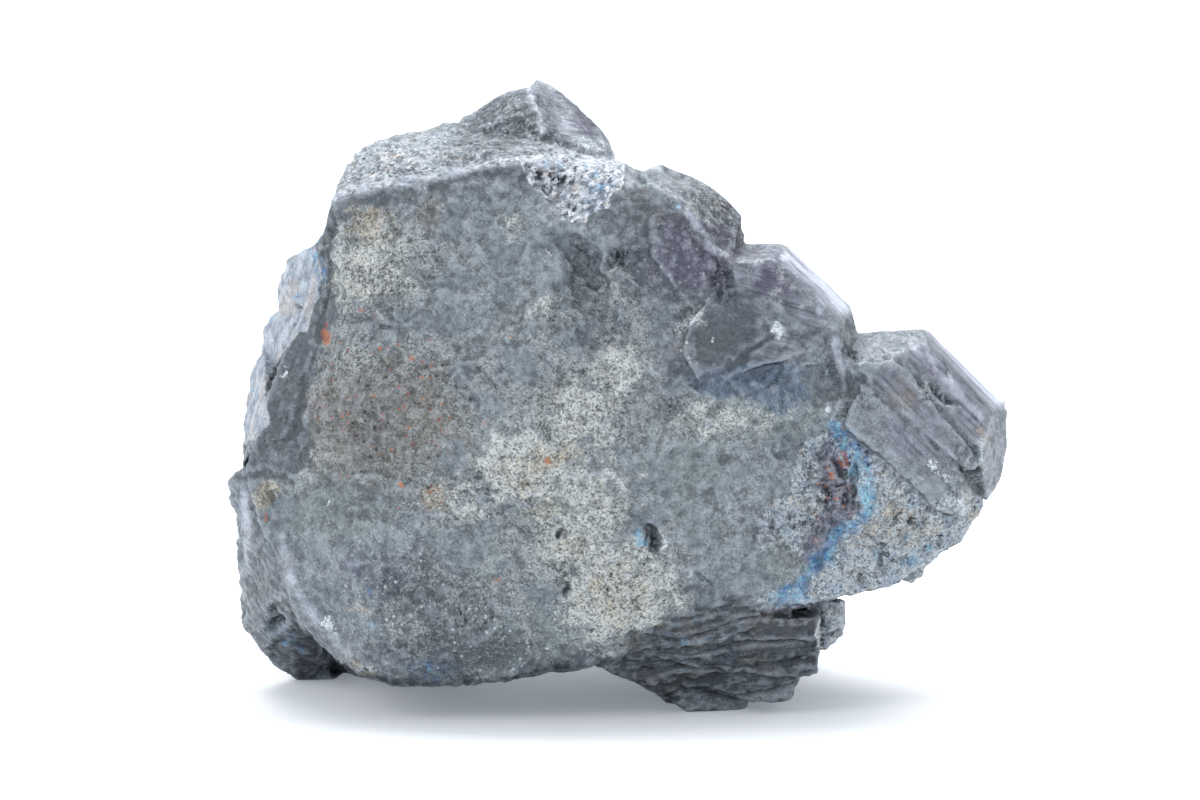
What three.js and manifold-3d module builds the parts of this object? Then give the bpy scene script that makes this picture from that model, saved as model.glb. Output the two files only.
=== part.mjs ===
// A bournonite specimen: one cluster of cogwheel-twinned crystals grown together, broken off on the
// front. The crystals run back from the broken front and step down along its right shoulder.
// Millimetres, +Z up. The broken front faces -Y, and the specimen rests on z = 0.
import * as THREE from "three";
import { ConvexGeometry } from "three/addons/geometries/ConvexGeometry.js";
import { mergeVertices } from "three/addons/utils/BufferGeometryUtils.js";
import Module from "manifold-3d";

// The front view that the corners below are given in. It looks a little down on the specimen.
const VIEW_TILT = THREE.MathUtils.degToRad(8);
const VIEW_DISTANCE = 600;
const VIEW_MIDDLE = { u: -1.5, v: 26 };

// Broken surfaces: the longest edge of their facets, in front and from a depth on, and the width
// and height of their lumps and of their grain. They are uneven more in depth than across.
const FACET = { front: 2.6, back: 5, backDepth: 12 };
const LUMPS = { size: 9, height: 0.9 };
const GRAIN = { size: 3.2, height: 0.42 };
const ACROSS = 0.55;

// Cogwheel crystals, as shares of a crystal's half width: the cut corners, the bevel around its
// end, the half widths of the twin that crosses it and of the cap on its end, how far the twin
// stops short and how far the cap stands out.
const CORNER_CUT = 0.3;
const END_BEVEL = 0.2;
const TWIN = { width: 0.95, short: 0.14, turn: 45 };
const CAP = { width: 0.55, out: 0.1, turn: 20 };

const COLOUR = 0x6b7076;
const ROUGHNESS = 0.5;
const METALNESS = 0.35;

const wasm = await Module();
wasm.setup();

// A point as the front view shows it: u to the right and v up, in millimetres across the middle
// of the specimen, and y its depth behind the middle.
function seen(u, v, y) {
  const cos = Math.cos(VIEW_TILT);
  const sin = Math.sin(VIEW_TILT);
  const eye = new THREE.Vector3(
    VIEW_MIDDLE.u,
    -VIEW_DISTANCE * cos,
    VIEW_MIDDLE.v / cos + VIEW_DISTANCE * sin,
  );
  const across = u - VIEW_MIDDLE.u;
  const up = v - VIEW_MIDDLE.v;
  const ray = new THREE.Vector3(
    across,
    VIEW_DISTANCE * cos + up * sin,
    up * cos - VIEW_DISTANCE * sin,
  );
  return eye.addScaledVector(ray, (y - eye.y) / ray.y);
}

// Solids and three.js geometry, each from the other.
function solidOf(geometry) {
  const bare = geometry.index ? geometry.toNonIndexed() : geometry.clone();
  bare.deleteAttribute("normal");
  bare.deleteAttribute("uv");
  const merged = mergeVertices(bare, 1e-4);
  return new wasm.Manifold(
    new wasm.Mesh({
      numProp: 3,
      vertProperties: new Float32Array(merged.attributes.position.array),
      triVerts: new Uint32Array(merged.index.array),
    }),
  );
}

function geometryOf(solid) {
  const mesh = solid.getMesh();
  const geometry = new THREE.BufferGeometry();
  geometry.setAttribute("position", new THREE.BufferAttribute(mesh.vertProperties, 3));
  geometry.setIndex(new THREE.BufferAttribute(mesh.triVerts, 1));
  geometry.computeVertexNormals();
  return geometry;
}

function lump(corners) {
  return solidOf(new ConvexGeometry(corners.map((corner) => seen(...corner))));
}

function join(solids) {
  return solids.reduce((whole, solid) => whole.add(solid));
}

// A random value from -1 to 1 for each point of a lattice.
function latticeValue(i, j, k, seed) {
  const mixed =
    Math.imul(i, 374761393) ^ Math.imul(j, 668265263) ^ Math.imul(k, 2147483647) ^ Math.imul(seed, 974711);
  const spread = Math.imul(mixed ^ (mixed >>> 13), 1274126177);
  return ((spread ^ (spread >>> 16)) >>> 0) / 2147483648 - 1;
}

// Smooth noise from -1 to 1: lattice values blended between their points.
function noise(point, size, seed) {
  const at = point.toArray().map((coordinate) => coordinate / size);
  const low = at.map(Math.floor);
  const share = at.map((coordinate, n) => THREE.MathUtils.smoothstep(coordinate - low[n], 0, 1));
  let sum = 0;
  for (let corner = 0; corner < 8; corner++) {
    const step = [corner & 1, (corner >> 1) & 1, corner >> 2];
    const weight = step.reduce((product, one, n) => product * (one ? share[n] : 1 - share[n]), 1);
    sum += weight * latticeValue(low[0] + step[0], low[1] + step[1], low[2] + step[2], seed);
  }
  return sum;
}

// The longest edge that is left undivided at a point.
function facetAt(point) {
  const depth = THREE.MathUtils.clamp(point.y / FACET.backDepth, 0, 1);
  return THREE.MathUtils.lerp(FACET.front, FACET.back, depth);
}

// The corners and faces of a solid, as points and as triples of their numbers.
function surfaceOf(solid) {
  const mesh = solid.getMesh();
  const points = [];
  for (let n = 0; n < mesh.vertProperties.length; n += 3) {
    points.push(new THREE.Vector3().fromArray(mesh.vertProperties, n));
  }
  const faces = [];
  for (let n = 0; n < mesh.triVerts.length; n += 3) {
    faces.push([...mesh.triVerts.slice(n, n + 3)]);
  }
  return { points, faces };
}

// Every edge longer than its limit is halved, on both of its faces, until none is left.
function divide({ points, faces }) {
  const middles = new Map();
  const middle = (a, b) => {
    const key = a < b ? `${a} ${b}` : `${b} ${a}`;
    if (!middles.has(key)) {
      const halfway = points[a].clone().lerp(points[b], 0.5);
      const long = points[a].distanceTo(points[b]) > facetAt(halfway);
      middles.set(key, long ? points.push(halfway) - 1 : null);
    }
    return middles.get(key);
  };
  const divided = faces.flatMap(([a, b, c]) => {
    return splitFace([a, b, c], [middle(a, b), middle(b, c), middle(c, a)], points);
  });
  if (divided.length === faces.length) return { points, faces };
  return divide({ points, faces: divided });
}

// One face, cut at the middles of its edges. An edge that stays whole has null in place of one.
function splitFace(corners, middles, points) {
  const whole = middles.filter((middle) => middle === null).length;
  if (whole === 3) return [corners];
  // Turned so that one cut is on the first edge, or one whole edge is the last.
  const first = whole === 2 ? middles.findIndex((middle) => middle !== null) : middles.indexOf(null) + 1;
  const [a, b, c] = [0, 1, 2].map((n) => corners[(n + first) % 3]);
  const [p, q, r] = [0, 1, 2].map((n) => middles[(n + first) % 3]);
  if (whole === 2) return [[a, p, c], [p, b, c]];
  if (whole === 0) return [[a, p, r], [p, b, q], [r, q, c], [p, q, r]];
  if (points[a].distanceTo(points[q]) < points[p].distanceTo(points[c])) {
    return [[p, b, q], [a, p, q], [a, q, c]];
  }
  return [[p, b, q], [a, p, c], [p, q, c]];
}

function solidFrom({ points, faces }) {
  return new wasm.Manifold(
    new wasm.Mesh({
      numProp: 3,
      vertProperties: new Float32Array(points.flatMap((point) => point.toArray())),
      triVerts: new Uint32Array(faces.flat()),
    }),
  );
}

// Flat sides made uneven, as a fracture leaves them: each point is moved by lumps and grain, and in
// depth by the hollows and swellings of the front too.
function weathered(solid, forms) {
  const surface = divide(surfaceOf(solid));
  for (const point of surface.points) {
    const [x, y, z] = [1, 2, 3].map((seed) => {
      return LUMPS.height * noise(point, LUMPS.size, seed) + GRAIN.height * noise(point, GRAIN.size, seed + 9);
    });
    const depth = forms.reduce((sum, form) => sum + formDepth(form, point), 0);
    point.add(new THREE.Vector3(ACROSS * x, y + depth, ACROSS * z));
  }
  return solidFrom(surface);
}

// How far back a form of the front moves a point.
function formDepth({ from, to, reach, depth }, point) {
  if (point.y > 0) return 0;
  const spine = new THREE.Line3(seen(...from, point.y), seen(...to, point.y));
  const nearest = spine.closestPointToPoint(point, true, new THREE.Vector3());
  return depth * Math.exp(-nearest.distanceToSquared(point) / reach ** 2);
}

// The broken mass behind the front face, as lumps whose corners are [u, v, y].
const BROKEN = {
  front: [
    [-24.4, 42.9, -5], [-18.5, 44.3, -6], [-8.3, 46.4, -5], [-0.5, 45.9, -5.2], [3, 44, -7.2],
    [10, 37.3, -9.6], [20, 29.4, -8.6], [25.4, 24, -7.8], [29.8, 18.8, -6.6], [31, 17, -5.4],
    [29, 13.8, -5.6], [24.9, 11.2, -6.2], [19.5, 9.5, -8.4], [12.9, 8.8, -10.9], [1.9, 7.3, -12],
    [-2.4, 3, -10], [-6.2, 2.6, -10],
    [-13.4, 1.5, -9], [-21, 2.5, -8], [-23.1, 3.4, -7], [-26.7, 6.9, -6], [-28, 9.8, -6], [-30.6, 16.6, -5],
    [-31.6, 19.6, -4], [-30, 24.4, -5],
    [-14, 34.4, -10.8], [-1.5, 34.4, -11.6], [-14, 24, -12.6], [3, 24, -13.3], [-4.9, 12.4, -13.6],
    [10, 17.5, -12.9], [9, 27, -12.3], [-22.7, 12.4, -10.6], [-11.7, 5.6, -12], [-22, 28, -10.3],
    [-22.7, 46, 1], [-20.4, 47.8, 3], [-14, 49.5, 8], [0, 46.6, 6], [8, 42, 8], [21, 28.4, 8], [31, 18.5, 6],
    [29, 15, 8], [24, 12, 8], [13, 9.4, 9], [-4, 5, 9], [-13, 4, 9], [-26, 6.5, 8], [-29.5, 14, 8],
    [-29.5, 24, 8], [-25, 37, 8], [-2, 25, 14],
  ],
  lowerRightTip: [
    [22.5, 14, -6], [27, 14, -5], [25.6, 10.9, -3.6], [24.9, 10.5, -3.6], [24, 10.9, -3.6], [25.2, 12.5, 3],
  ],
  leftBack: [
    [-24.8, 40.4, 1], [-28.1, 37.8, 5], [-29.1, 35.7, 6], [-29.1, 33.4, 6], [-26, 33, -5],
    [-24, 40, -3], [-22, 38, 12], [-26, 34, 13], [-24, 30, 4],
  ],
  leftBackStep: [
    [-28, 35, 3], [-29.6, 33, 6], [-30.2, 31.8, 7], [-30.1, 29.6, 7], [-27, 30, -5], [-26, 33, -5],
    [-24, 34, 12], [-26, 28, 12], [-29, 27, 4],
  ],
  leftBackFoot: [
    [-30, 30, 6], [-31, 28.1, 7], [-30.7, 26.2, 7], [-31.8, 20, 1], [-30, 24, -5], [-26, 30, 12],
    [-27, 20, 13],
  ],
  lowerLeft: [
    [-31.9, 20, -2], [-32.9, 18.9, -1], [-32.6, 17.4, 0], [-32, 12.8, 5], [-30.6, 19, -4],
    [-28, 10, -5], [-26, 22, 13], [-26, 12, 15],
  ],
  lowerLeftFoot: [
    [-32, 13, 4], [-32.4, 9, 7], [-32.1, 6.9, 8], [-29.9, 4.3, 10], [-27.4, 2.3, 12], [-26.6, 1.5, 14],
    [-24, 1.4, 14.5], [-23.4, 2, 17], [-27.5, 10, -5], [-25, 5.5, 4], [-24, 14, 17], [-28, 8, 16],
  ],
  ledgeTop: [
    [0, 8, -11.5], [1.9, 7.3, -12], [6.9, 8, -12], [12.9, 7.8, -10.6], [17.2, 7.8, -8.6],
    [17.3, 5.2, -8], [10, 4.9, -9.4], [0, 5, -10.6], [17.2, 8, 8], [16, 5, 8], [0, 5, 8],
  ],
  ledgeFront: [
    [2, 6, -11], [9, 6, -10.4], [13, 6.6, -9.8], [15.6, 6.4, -8.8], [17.3, 5.6, -7.6], [17.2, 3, -6.4],
    [15.7, 2.7, -6.4], [9, 3.1, -8.2], [2, 3.8, -9.4], [16.5, 5, 6], [8, 3.5, 6],
  ],
  ledgeBack: [
    [16, 9, -5], [19, 8.8, -4], [19.2, 7.5, -4], [19.2, 5.9, -3], [17.9, 4.7, -3], [16, 4.5, -4],
    [19, 8.6, 8], [17.8, 5, 7], [14, 6, 9],
  ],
  ledgeStep: [
    [9, 4.5, -8], [15.7, 3.2, -6], [15.5, 2, -5.3], [15, 1, -5], [14.4, 0.7, -4.5], [11.6, 0.7, -4.5],
    [8, 1.5, -5], [15, 3.2, 6], [14, 1.8, 5], [8, 2, 6],
  ],
  foot: [
    [-3, 4.2, -10], [-1, 2.7, -8.6], [2.7, 1.3, -6], [6.1, 0.1, -3], [8.2, -0.5, -1], [10.6, -0.5, -1],
    [11.1, 0.6, -2], [12, 4.5, -8.2], [2, 5.5, -10.6], [10, 5, -9], [11, 0.5, 5], [7, 0.2, 6],
    [2, 2.6, 6], [-3, 4.4, 2],
  ],
  backFoot: [
    [4, 2, 14], [12, 2, 14], [13, 2.2, 21], [5, 2.2, 21], [1, 9, 11], [15, 10, 11], [14, 10, 23], [3, 10, 23],
  ],
};

// Hollows (depth above 0) and swellings of the front, each from one [u, v] to another.
const FORMS = [
  { from: [-3.8, 38.2], to: [-2.2, 31.6], reach: 1.9, depth: 1.5 },
  { from: [-9.6, 35.6], to: [-10.6, 30.6], reach: 2.2, depth: 0.7 },
  { from: [-19, 15.5], to: [2, 21], reach: 1.7, depth: -0.7 },
  { from: [-22, 8], to: [-18, 5], reach: 2.4, depth: -0.7 },
  { from: [10.5, 15], to: [12.5, 13], reach: 1.8, depth: 0.5 },
  { from: [15, 23], to: [18.2, 13.5], reach: 2, depth: 1 },
  { from: [7, 28], to: [14, 29], reach: 2, depth: 0.6 },
  { from: [-6, 44.2], to: [-2, 42], reach: 2, depth: 1 },
  { from: [-27.5, 34], to: [-27.5, 29], reach: 3, depth: 1.6 },
];

// Crystals of the right shoulder and the peak, with their front corners as the front view shows them.
const FACETED = {
  peak: [
    [-6.9, 53.2, 8], [-5.2, 52.4, 8], [-3.5, 51, 8.5], [-1.9, 49.4, 8.5], [-0.8, 47.9, 8.5], [-0.3, 46.6, 8],
    [-6.2, 48.9, 3.2], [-3, 47.4, 2.6], [-1, 46.8, 3.4], [-7.4, 45, 1], [0, 45, 6],
    [-7.6, 52.4, 6.5], [-6.6, 51.5, 21], [-3.4, 49.8, 22], [-1.2, 46.8, 20], [-1, 42, 18], [-8, 42, 18],
  ],
  peakShoulder: [
    [-13.7, 49.3, 8], [-12.8, 50.1, 7.5], [-9.9, 51.9, 7.5], [-7.9, 52.5, 7.5], [-7.3, 52.4, 6.2],
    [-6.3, 48.8, 2.6], [-6.8, 46.8, 1], [-13, 47, 2], [-15, 47.6, 6],
    [-7.5, 50.8, 19], [-12, 49, 17], [-13, 44, 15], [-7, 44, 16],
  ],
  firstCog: [
    [1.9, 45.2, -5.6], [2.7, 44.4, -7.2], [5.3, 42.9, -8.2], [6.7, 41, -8.8], [8.2, 38.6, -9.5],
    [9.6, 36.6, -9.9], [3, 38, -9.9], [5, 35.6, -10.6],
    [3.6, 45.9, -2.5], [6.3, 44.9, -2.5], [8, 44, -2.5], [9.3, 43, -3], [10.3, 41.8, -3.4],
    [10.5, 40.5, -3.6], [10.5, 39, -4.5], [3.6, 45.4, 13], [8, 43.6, 15], [10.2, 41, 14], [10.2, 36, 12],
    [2, 34, 9], [2, 40, 13],
  ],
  secondCog: [
    [9.9, 37.6, -9.5], [12.9, 37.9, -8.7], [14.2, 37.4, -8.5], [18.3, 33.3, -8.5], [18.9, 30.8, -9.1],
    [6.9, 27.4, -12.9], [5.4, 30, -12.5], [6.1, 32.7, -11.8],
    [10.7, 39.2, -3.4], [13.9, 39.2, -2.8], [14.6, 38.8, -2.6], [19.7, 34, -2.6], [20, 33, -2.8],
    [20.3, 31.4, -3.4], [20.4, 29, -4], [11, 39, 15], [14.5, 38.6, 18], [19.6, 33.8, 18], [20.2, 30, 16],
    [19, 24, 13], [8, 28, 11],
  ],
  thirdCogRim: [
    [20.1, 31.6, -3], [24.1, 31.5, -4.2], [25.3, 32, -2], [26.2, 31.9, -1.2], [32.4, 25.9, -1.2],
    [32.9, 24.9, -1.2], [33, 21.9, -1.2], [32.4, 19.2, -1.5], [31.3, 17.5, -3], [26, 30.9, -4.5],
    [31.9, 24.9, -4.5], [23.8, 30.1, -7.4], [30.7, 22.1, -7.4], [20.1, 29, -8.2],
    [20.2, 31.4, 12], [26, 31.6, 13], [32, 25.6, 13], [32.4, 21, 11], [31, 18, 8], [20, 22, 9],
  ],
  thirdCogBand: [
    [20.1, 29.2, -8.8], [22.9, 29.2, -8.4], [24.2, 28.6, -8.1], [30.1, 21.6, -8.1], [29.3, 20.3, -8.6],
    [21.3, 27.4, -9.3], [31.6, 20.6, -4], [22, 24, 4], [30, 19, 4], [24, 29, 2],
  ],
  thirdCogBase: [
    [19.2, 23.9, -10.3], [22.7, 25.7, -9.4], [20.6, 27.6, -9.3], [29, 20, -8.1], [30.2, 17.8, -7],
    [28.3, 15.9, -7.6], [25.8, 18.3, -8.9], [23, 21.4, -9.7], [22, 20, 2], [28, 18, 2],
  ],
};

// Cogwheel crystals of the back: the middle of each, its half width, the depths of its ends, how
// far it leans outward along its length, and how it is turned.
const COGWHEELS = [
  { u: -14, v: 32.5, half: 9.2, front: 0, back: 24, lean: [-1.6, 1.6], turn: 7 },
  { u: 0.5, v: 33, half: 8.6, front: 0, back: 20, lean: [-0.5, 2], turn: -14 },
  { u: 7.5, v: 17.5, half: 9.8, front: 0, back: 26, lean: [0.5, -0.5], turn: 4 },
  { u: -17, v: 14, half: 9, front: 0, back: 21, lean: [-2.5, -1.5], turn: 20 },
  { u: 21.5, v: 21, half: 6.2, front: 0, back: 17, lean: [2, 0.8], turn: -3 },
  { u: -4.5, v: 22.5, half: 9, front: 0, back: 30, lean: [-1, 0], turn: -25 },
];

// A short prism that runs back, with cut corners and a bevelled end.
function tablet({ u, v, half, front, back, lean, turn }) {
  const corners = [];
  for (let side = 0; side < 4; side++) {
    for (const [a, b] of [[half, half * (1 - CORNER_CUT)], [half * (1 - CORNER_CUT), half]]) {
      const corner = new THREE.Vector2(a, b).rotateAround(
        new THREE.Vector2(),
        THREE.MathUtils.degToRad(turn + 90 * side),
      );
      const end = corner.clone().multiplyScalar(1 - END_BEVEL);
      corners.push([u + corner.x, v + corner.y, front]);
      corners.push([u + lean[0] + corner.x, v + lean[1] + corner.y, back - half * END_BEVEL]);
      corners.push([u + lean[0] + end.x, v + lean[1] + end.y, back]);
    }
  }
  return lump(corners);
}

// A tablet with the twin that crosses it, whose corners make the teeth, and a cap on its end.
function cogwheel(crystal) {
  const { half, back, turn } = crystal;
  const twin = { ...crystal, half: half * TWIN.width, back: back - half * TWIN.short, turn: turn + TWIN.turn };
  const cap = { ...crystal, half: half * CAP.width, back: back + half * CAP.out, turn: turn + CAP.turn };
  return join([crystal, twin, cap].map(tablet));
}

// Gaps cut into the finished cluster.
const GAPS = {
  ledgeCrack: [
    [12.6, 8.9, -16], [15, 8.7, -16], [19.6, 9.1, -14], [21, 9.5, -9], [20, 8.8, -9], [15, 8.1, -16],
    [12.6, 8.5, -16], [14, 8.5, -7], [20, 8.9, -3.5],
  ],
  fissure: [
    [9.2, 38, -16], [9.9, 37.6, -16], [10.3, 32.6, -16], [9.2, 31.9, -16], [8.6, 34.6, -16],
    [9.5, 37, -8.6], [9.3, 34.5, -9.6],
  ],
  glassyPit: [
    [2.2, 15, -16], [3.6, 15.5, -16], [4, 14.6, -16], [3.4, 13.3, -16], [2.4, 13.4, -16], [3.1, 14.4, -11.9],
  ],
  darkPit: [
    [-5, 10.2, -17], [-4.1, 10.2, -17], [-4, 9.2, -17], [-5, 9.3, -17], [-4.6, 9.8, -12.2],
  ],
  tarnishedPit: [
    [19.2, 22.6, -15], [20.9, 21.6, -15], [21.6, 18.6, -15], [20.8, 16, -15], [19.2, 15.8, -15],
    [18.6, 19, -15], [20.2, 20.6, -8], [20, 18, -7.8],
  ],
  lipPit: [
    [3, 45.5, -9], [-3, 45, -9], [-3.4, 42.6, -12], [-1, 41.6, -13], [0, 43.4, -12], [-2, 43.8, -6.6],
  ],
};

// Everything below the resting surface.
function belowGround() {
  const size = 200;
  return solidOf(new THREE.BoxGeometry(size, size, size).translate(0, 0, -size / 2));
}

// The largest body of a solid, without the crumbs that a cut leaves loose.
function largest(solid) {
  return solid.decompose().reduce((best, body) => (body.volume() > best.volume() ? body : best));
}

const broken = weathered(join(Object.values(BROKEN).map(lump)), FORMS);
const crystals = join([...Object.values(FACETED).map(lump), ...COGWHEELS.map(cogwheel)]);
const gaps = join(Object.values(GAPS).map(lump));
const cluster = largest(broken.add(crystals).subtract(gaps).subtract(belowGround()));

const material = new THREE.MeshStandardMaterial({
  color: COLOUR,
  roughness: ROUGHNESS,
  metalness: METALNESS,
});
const bournonite = new THREE.Mesh(geometryOf(cluster), material);
bournonite.name = "bournonite_cluster";

// The origin is under the middle of the specimen.
bournonite.geometry.computeBoundingBox();
const middle = bournonite.geometry.boundingBox.getCenter(new THREE.Vector3());
bournonite.position.set(-middle.x, -middle.y, 0);

const specimen = new THREE.Group();
specimen.add(bournonite);

export default specimen;
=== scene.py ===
"""A bournonite specimen on a white surface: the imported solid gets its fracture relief, crystal
striations, pits and ledges, and a layered mineral material with crusts and tarnish.

Places on the front are [u, v] in millimetres, as the front view shows them: u to the right and v
up. The stone's relief is worked out in millimetres too. Everything else is in metres, in the
part's own frame.
"""
import math

import bpy
import numpy as np
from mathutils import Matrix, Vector
from mathutils.bvhtree import BVHTree


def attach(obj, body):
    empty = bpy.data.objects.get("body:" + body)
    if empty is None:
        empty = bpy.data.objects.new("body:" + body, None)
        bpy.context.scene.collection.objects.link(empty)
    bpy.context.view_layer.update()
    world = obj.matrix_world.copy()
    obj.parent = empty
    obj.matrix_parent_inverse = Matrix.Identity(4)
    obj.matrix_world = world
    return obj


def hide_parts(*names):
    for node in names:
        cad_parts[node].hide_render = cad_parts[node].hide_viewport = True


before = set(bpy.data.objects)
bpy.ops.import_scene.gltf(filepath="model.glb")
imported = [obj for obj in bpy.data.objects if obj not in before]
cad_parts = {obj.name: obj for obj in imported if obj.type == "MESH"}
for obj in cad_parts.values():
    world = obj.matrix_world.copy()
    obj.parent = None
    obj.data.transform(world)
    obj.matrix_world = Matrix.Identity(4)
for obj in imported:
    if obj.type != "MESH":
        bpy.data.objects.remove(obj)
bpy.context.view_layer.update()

MM = 0.001

# The front view that the places are given in, and that the camera takes.
VIEW_TILT = math.radians(8)
VIEW_DISTANCE = 0.6
VIEW_MIDDLE = Vector((-0.001577, -0.0083, 0.026256))
VIEW_ORIGIN = (-1.5, 26.0)
VIEW_WIDTH = 0.1017
SENSOR = 36.0
AHEAD = np.array([0, math.cos(VIEW_TILT), -math.sin(VIEW_TILT)])
UP = np.array([0, math.sin(VIEW_TILT), math.cos(VIEW_TILT)])

# Large odd numbers that turn a lattice point and a seed into a random number.
MIX_X, MIX_Y, MIX_Z = np.uint32(374761393), np.uint32(668265263), np.uint32(2246822519)
MIX_FIRST, MIX_LAST = np.uint32(1274126177), np.uint32(2654435761)
SEED_STEP = 974711
SEED_START = 12345

# The noise: how far apart its layers' seeds are, the gain that brings it to about -1 to 1, and the
# chips' edges and steps, as shares of their size. A call's whole number after the size is its seed.
LAYER_SEEDS = 31
NOISE_GAIN = 1.7
CHIP_EDGE = 0.12
CHIP_STEP = 0.45

# The stone's mesh: the voxel in millimetres, the triangles, and how much the back is thinned out.
VOXEL = 0.18
TRIANGLES = 196000
FRONT_WEIGHT = 0.5
WEIGHT_FACTOR = 0.0001
WEIGHT_LEVELS = 20

# A face of the solid is crystal from about this area on, in square millimetres. Triangles are one
# face where their normals and offsets, times these, round to the same.
CRYSTAL_FACE = 9.0
SAME_NORMAL = 60
SAME_OFFSET = 5

# How far the edges of places on the front wander, by what size of lumps, and how soft they are.
WAVE_SIZE = 2.8
RAGGED = 0.6
CLOSE = 0.22
PATCH_EDGE = 0.8

# Heights and depths of the relief.
CHIP_HEIGHT = 0.26
LUMP_HEIGHT = 0.24
GRAIN_HEIGHT = 0.11
FACE_HEIGHT = 0.05
DENT_DEPTH = 0.12
SUGAR_HEIGHT = 0.1
HOLE_DEPTH = 0.4
GROOVE_HEIGHT = 0.06
CRACK_DEPTH = 0.2
RIM_HEIGHT = 0.1

# The ledges: how much they rise to the right, the height of each, how far it stands out, and the
# gap under it.
LEDGE_RISE = 0.16
LEDGE = 1.9
LEDGE_OUT = 0.42
LEDGE_GAP = 0.28
FINE_LEDGE = 0.62
FINE_LEDGE_OUT = 0.05

# The grooves on the crystals: their slope, where along x the slanting ones begin, and how much
# their noise is drawn out along them and towards the back.
CROSS_GROOVES = math.radians(-15)
SLANT_GROOVES = math.radians(-45)
SLANT_FROM = (19.0, 21.0)
DRAWN_ALONG = 0.06
DRAWN_BACK = 0.15

# Sizes, slopes and bumps in the material, in metres and radians.
BROAD = 0.004
FILM = 0.0035
MIDDLE = 0.0014
BLOTCH = 0.0009
BLOTCH_OFFSET = (0.3, 0.1, 0.7)
FINE = 0.00017
GRAIN = 0.00015
GROOVE = 0.00035
STREAK = 0.0003
LAYER = 0.00022
LEDGE_SLOPE = math.radians(9)
SPOT = 0.0007
HOLE = 0.0005
SPLINTER = 0.00024
SPLINTER_BEND = 0.0005
SPLINTER_SCALE = (0.45, 1.0, 1.0)
SPLINTER_TURN = math.radians(35)
FACET = 0.00025
LARGE_FACET = 0.0008
FINE_BUMP = 0.0001
GROOVE_BUMP = 0.00016
PIT_BUMP = 0.00012

# The studio: its white light, the floor, and each lamp's name, place, size and power.
WORLD_LIGHT = 0.8
WORLD_COLOUR = (0.95, 0.98, 1.0, 1)
FLOOR_WIDTH = 6.0
FLOOR_COLOURS = ((0.9, 0.91, 0.92, 1), (0.93, 0.94, 0.95, 1))
FLOOR_GLOW = 0.22
FLOOR_GLOW_COLOUR = (0.82, 0.92, 1.0, 1)
CLOUD = 0.03
LAMPS = [
    ("above", (0.05, 0.25, 0.7), (0.9, 0.6), 9),
    ("front_left", (-0.5, -0.6, 0.45), (0.4, 0.4), 2.5),
]


# Places on the front: [u, v, half width, half height, strength], and the turn in degrees where
# there is one. First come the tints and minerals.
PALE = [
    [-12.5, 17.3, 2.9, 1.9, 0.5, 15], [-22.3, 36.8, 2.7, 3.2, 0.5], [-18.5, 35.7, 3.6, 2, 0.35],
    [-9, 40.5, 1.1, 1.7, 0.4], [-5.6, 33.4, 2, 1.9, 0.45], [7.6, 24.2, 2.7, 1.1, 0.5, -15],
    [6.1, 32.7, 1.9, 1.1, 0.5, 20], [14.2, 35.7, 2.5, 1.7, 0.35, -35], [-8.3, 20.6, 4, 2.8, 1],
    [-3, 24.5, 4.5, 2.6, 0.7, 50], [-0.2, 28.5, 3, 2.4, 0.6, 45], [0.3, 9.8, 4.6, 4, 0.95],
    [-3, 17, 5, 4.5, 0.6], [-3.8, 13, 3.5, 2.5, 0.6], [-21.5, 38.5, 3.5, 3, 0.5],
    [-8.3, 20.9, 3, 2, 1], [-21, 38, 3.6, 2.6, 0.6], [9.5, 24.6, 4.6, 1.2, 0.6],
    [-21.5, 36.5, 3.4, 3.4, 0.5],
]
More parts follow.
